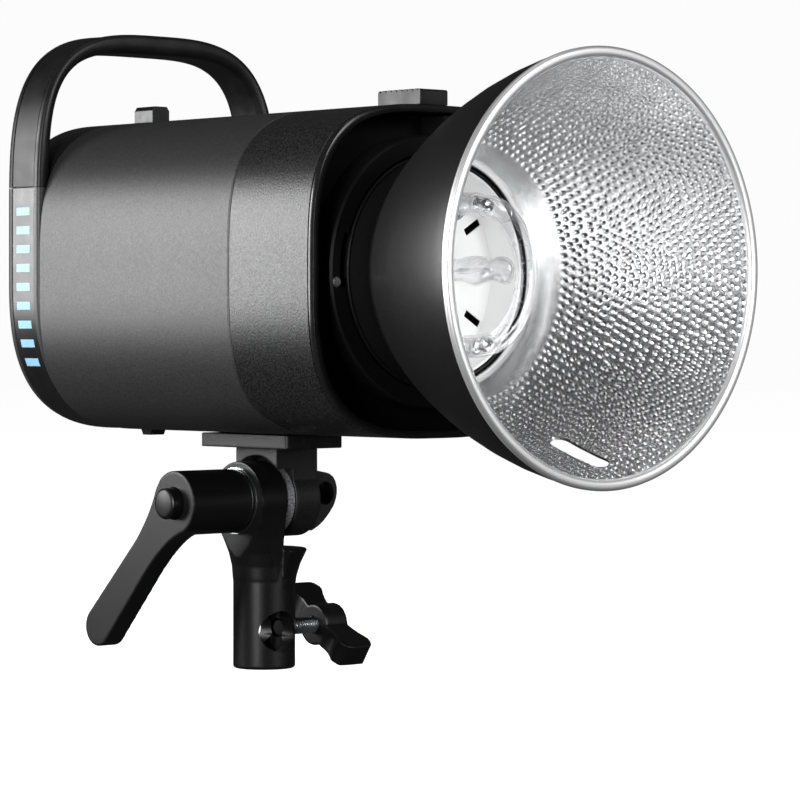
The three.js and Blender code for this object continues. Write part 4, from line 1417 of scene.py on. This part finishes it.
mount(bracket_mesh(), "tilt_bracket_casting", "head", CAST_PAINT, "cast_black", "tilt_bracket")


def washer_mesh(node):
    low, high = span(node)
    radius = (high.z - low.z) / 2
    profile = [
        (4.6, low.x), (radius - 0.5, low.x), (radius, low.x + 0.5), (radius, high.x - 0.5),
        (radius - 0.5, high.x), (4.6, high.x),
    ]
    return revolve(profile, "X", (0, 0, PIVOT_Z), 96)


mount(washer_mesh("friction_washer"), "friction_disc", "head", WASHER, "steel", "friction_washer")


# ---------- ratchet lever ----------

HUB_R = 14.3


def lever_mesh():
    tip = Vector((56.5, 17.0 - PIVOT_Z))
    reach, lean = tip.length, math.atan2(tip.y, tip.x)
    tip_r = 8.8
    outline = arc((0, 0), HUB_R, 90, 270, 40)
    outline += arc((0, 0), HUB_R, 272, 290, 6)
    edge = outline[-1]
    outline += bend(edge, (15, -7.6), (36, -7.4))
    outline += arc((reach - 1, 0), tip_r, -90, 90, 32)
    outline += [(32, 7.8)]
    outline += bend((32, 7.8), (16, 8.6), (HUB_R * math.cos(1.2), HUB_R * math.sin(1.2)))
    leaned = []
    for a, b in outline:
        leaned.append((
            a * math.cos(lean) - b * math.sin(lean),
            PIVOT_Z + a * math.sin(lean) + b * math.cos(lean),
        ))
    arm = prism(leaned, LEVER_OUT, LEVER_OUT + 10.0)
    hub_profile = [
        (0, LEVER_OUT), (HUB_R - 1.2, LEVER_OUT), (HUB_R, LEVER_OUT + 1.2),
        (HUB_R, LEVER_IN - 0.8), (HUB_R - 0.8, LEVER_IN), (0, LEVER_IN),
    ]
    hub = revolve(hub_profile, "X", (0, 0, PIVOT_Z), 96, closed=False)
    body = cast([arm, hub], CAST_GRAIN, 6)
    bore = [
        (0, -53), (7.3, -53), (7.3, -38), (4.6, -38), (4.6, -35.8), (7.4, -35.8), (7.4, -16), (0, -16),
    ]
    return cut(body, revolve(bore, "X", (0, 0, PIVOT_Z), 64, closed=False))


mount(lever_mesh(), "ratchet_lever", "lever_handle", LEVER_PAINT, "painted_black", "lever")


def pivot_screw_mesh():
    low, high = span("pivot_screw")
    out = low.x
    profile = [
        (0.0, out + 0.2), (5.2, out + 0.1), (6.2, out + 0.35), (6.75, out + 0.9), (6.9, out + 1.6),
        (6.9, -46.7), (4.0, -46.7), (4.0, high.x - 0.6), (3.4, high.x), (0.0, high.x),
    ]
    return revolve(profile, "X", (0, 0, PIVOT_Z), 72, closed=False)


mount(pivot_screw_mesh(), "pivot_button", "lever_insert", KNOB_BLACK, "black_plastic", "pivot_screw")

# ---------- stand socket ----------

SOCKET_R = 14.0
CLAMP_Z = 17.5


def turned(profile):
    """Solid of revolution about the stand's axis."""
    return revolve(profile, "Z", (0, 0, 0), 96, closed=False)


def socket_mesh():
    """Barrel with a flared lip on one side and a round ear up to the tilt pivot."""
    barrel = turned([(0, 0), (13.2, 0), (SOCKET_R, 0.8), (SOCKET_R, 45), (0, 45)])
    flare = turned([
        (0, 30), (SOCKET_R, 30), (SOCKET_R, 36), (14.6, 41), (16.4, 47), (19.4, 53.2), (18.6, 54),
        (0, 54),
    ])
    flare = boolean(flare, block((-1, 30), (-30, 30), (20, 60)), "INTERSECT")
    waist = turned([
        (0, 38), (SOCKET_R, 38), (14.6, 46), (16, 52), (18.1, 57.5), (20.4, 63), (26, 71), (32, 80),
        (32, 96), (0, 96),
    ])
    ear_r = SOCKET_TOP - PIVOT_Z
    outline = arc((0, PIVOT_Z), ear_r, math.degrees(-0.25), 180 + math.degrees(0.25), 60)
    outline += bend(outline[-1], (-14.2, 56), (-SOCKET_R + 0.4, 40))
    outline += [(SOCKET_R - 0.4, 40)]
    outline += bend((SOCKET_R - 0.4, 40), (14.2, 56), outline[0])[:-1]
    ear = boolean(prism(outline, -15.6, -0.6), waist, "INTERSECT")
    body = cast([barrel, flare, ear], CAST_GRAIN, 5)
    spigot_bore = rod(8.1, -1, 45, "Z", steps=64)
    cross_hole = rod(9.2, -20, 20, "Y", (-1.5, 0, 17.0), 64)
    clamp_hole = rod(4.3, 0, 20, "X", (0, 0, CLAMP_Z), 32)
    pivot_hole = rod(4.6, -20, 2, "X", (0, 0, PIVOT_Z), 32)
    return cut(body, spigot_bore, cross_hole, clamp_hole, pivot_hole)


mount(socket_mesh(), "stand_socket_casting", "stand", SOCKET_PAINT, "cast_black", "stand_socket")


def thread_mesh():
    """Clamp screw with a rolled thread."""
    low, high = span("clamp_screw")
    radius, pitch = (high.z - low.z) / 2, 1.25
    stations = 260
    rings = []
    for k in range(stations + 1):
        x = low.x + (high.x - low.x) * k / stations
        ring = []
        for n in range(40):
            turn = 2 * math.pi * n / 40
            phase = (x / pitch - n / 40) % 1.0
            depth = 0.55 * abs(2 * phase - 1)
            r = radius - depth if 0 < k < stations else radius - 0.9
            ring.append(Vector((x, r * math.cos(turn), CLAMP_Z + r * math.sin(turn))))
        rings.append(ring)
    return mesh_from(*skin(rings))


mount(thread_mesh(), "clamp_thread", "clamp_screw_knob", STEEL_X, "steel", "clamp_screw")


def knob_mesh():
    half, x0, x1, lean = 25.0, 28.0, 46.0, 33.0
    side = [(-9, 29), (9, 29)]
    side += bend((9, 29), (15, 30.5), (19, x0), 8) + bend((19, x0), (half, x0), (half, 34), 8)
    side += [(half, 41)] + bend((half, 41), (half, x1), (19, x1), 8)
    side += bend((19, x1), (11, 41), (0, 40.5), 8) + bend((0, 40.5), (-11, 41), (-19, x1), 8)
    side += bend((-19, x1), (-half, x1), (-half, 41), 8) + [(-half, 34)]
    side += bend((-half, 34), (-half, x0), (-19, x0), 8)
    side += bend((-19, x0), (-15, 30.5), (-9, 29), 8)[:-1]
    rings = []
    turn = math.radians(lean)
    for level in (-5.5, 5.5):
        ring = []
        for length, x in side:
            y = length * math.cos(turn) - level * math.sin(turn)
            z = length * math.sin(turn) + level * math.cos(turn)
            ring.append(Vector((x, y, CLAMP_Z + z)))
        rings.append(ring)
    wings = mesh_from(*skin(rings))
    centre = (0, 0, CLAMP_Z)
    hub = rod(9.4, 29, 42, "X", centre, 64)
    bore = rod(4.1, 27, 34, "X", centre, 32)
    return cut(cast([wings, hub], CAST_GRAIN, 7), bore)


mount(knob_mesh(), "wing_knob", "clamp_screw_knob", KNOB_BLACK, "black_plastic", "clamp_knob")


# ---------- studio ----------

def pale_surface(name, glow):
    made = Nodes(name, (0.82, 0.82, 0.82), 0.9, 0.0, 0.1)
    cloud = made.noise(300.0, 2.0)
    made.color(made.ramp(cloud, [(0.3, (0.81, 0.81, 0.81)), (0.7, (0.83, 0.83, 0.83))]))
    made.shader.inputs["Emission Color"].default_value = (1, 1, 1, 1)
    made.shader.inputs["Emission Strength"].default_value = glow
    return made.material


def backdrop(name, corners, faces, glow):
    """Pale studio surface. It fills the picture, but throws no light on the lamp."""
    mesh = bpy.data.meshes.new(name)
    mesh.from_pydata(corners, [], faces)
    mesh.materials.append(pale_surface(name, glow))
    obj = bpy.data.objects.new(name, mesh)
    bpy.context.scene.collection.objects.link(obj)
    obj.visible_glossy = False
    obj.visible_diffuse = False


def make_backdrop():
    reach, height, sides = 7.0, 9.0, 48
    floor_glow, wall_glow = 0.95, 0.9
    floor = [(-reach, -reach, 0), (reach, -reach, 0), (reach, reach, 0), (-reach, reach, 0)]
    backdrop("studio_floor", floor, [(0, 1, 2, 3)], floor_glow)
    wall = []
    for z in (-height, height):
        for k in range(sides):
            turn = 2 * math.pi * k / sides
            wall.append((reach * math.cos(turn), reach * math.sin(turn), z))
    faces = [(k, (k + 1) % sides, sides + (k + 1) % sides, sides + k) for k in range(sides)]
    backdrop("studio_wall", wall, faces, wall_glow)


def softbox(name, place, aim, width, height, power):
    data = bpy.data.lights.new(name, "AREA")
    data.shape = "RECTANGLE"
    data.size, data.size_y = width, height
    data.energy = power
    light = bpy.data.objects.new(name, data)
    light.location = place
    light.rotation_euler = (Vector(aim) - Vector(place)).to_track_quat("-Z", "Y").to_euler()
    light.visible_camera = False
    bpy.context.scene.collection.objects.link(light)


def make_studio():
    world = bpy.data.worlds.new("studio")
    world.use_nodes = True
    background = world.node_tree.nodes["Background"]
    background.inputs["Color"].default_value = (1, 1, 1, 1)
    background.inputs["Strength"].default_value = 0.035
    bpy.context.scene.world = world
    side = Vector((-0.071, -0.01, 0.19))
    softbox("side_box", side + Vector((-0.67, 0.74, 0.12)) * 0.95, side, 0.40, 0.44, 8.6)
    softbox("left_box", (-1.5, -0.62, 0.30), (0, -0.2, 0.19), 0.6, 0.7, 21)
    softbox("front_box", (0.35, -2.0, 0.70), (0, -0.15, 0.18), 1.2, 1.2, 30)
    softbox("top_box", (0.1, -0.1, 1.6), (0, -0.03, 0.18), 0.9, 0.9, 1.6)
    bpy.context.scene.view_settings.view_transform = "Standard"


make_backdrop()
make_studio()
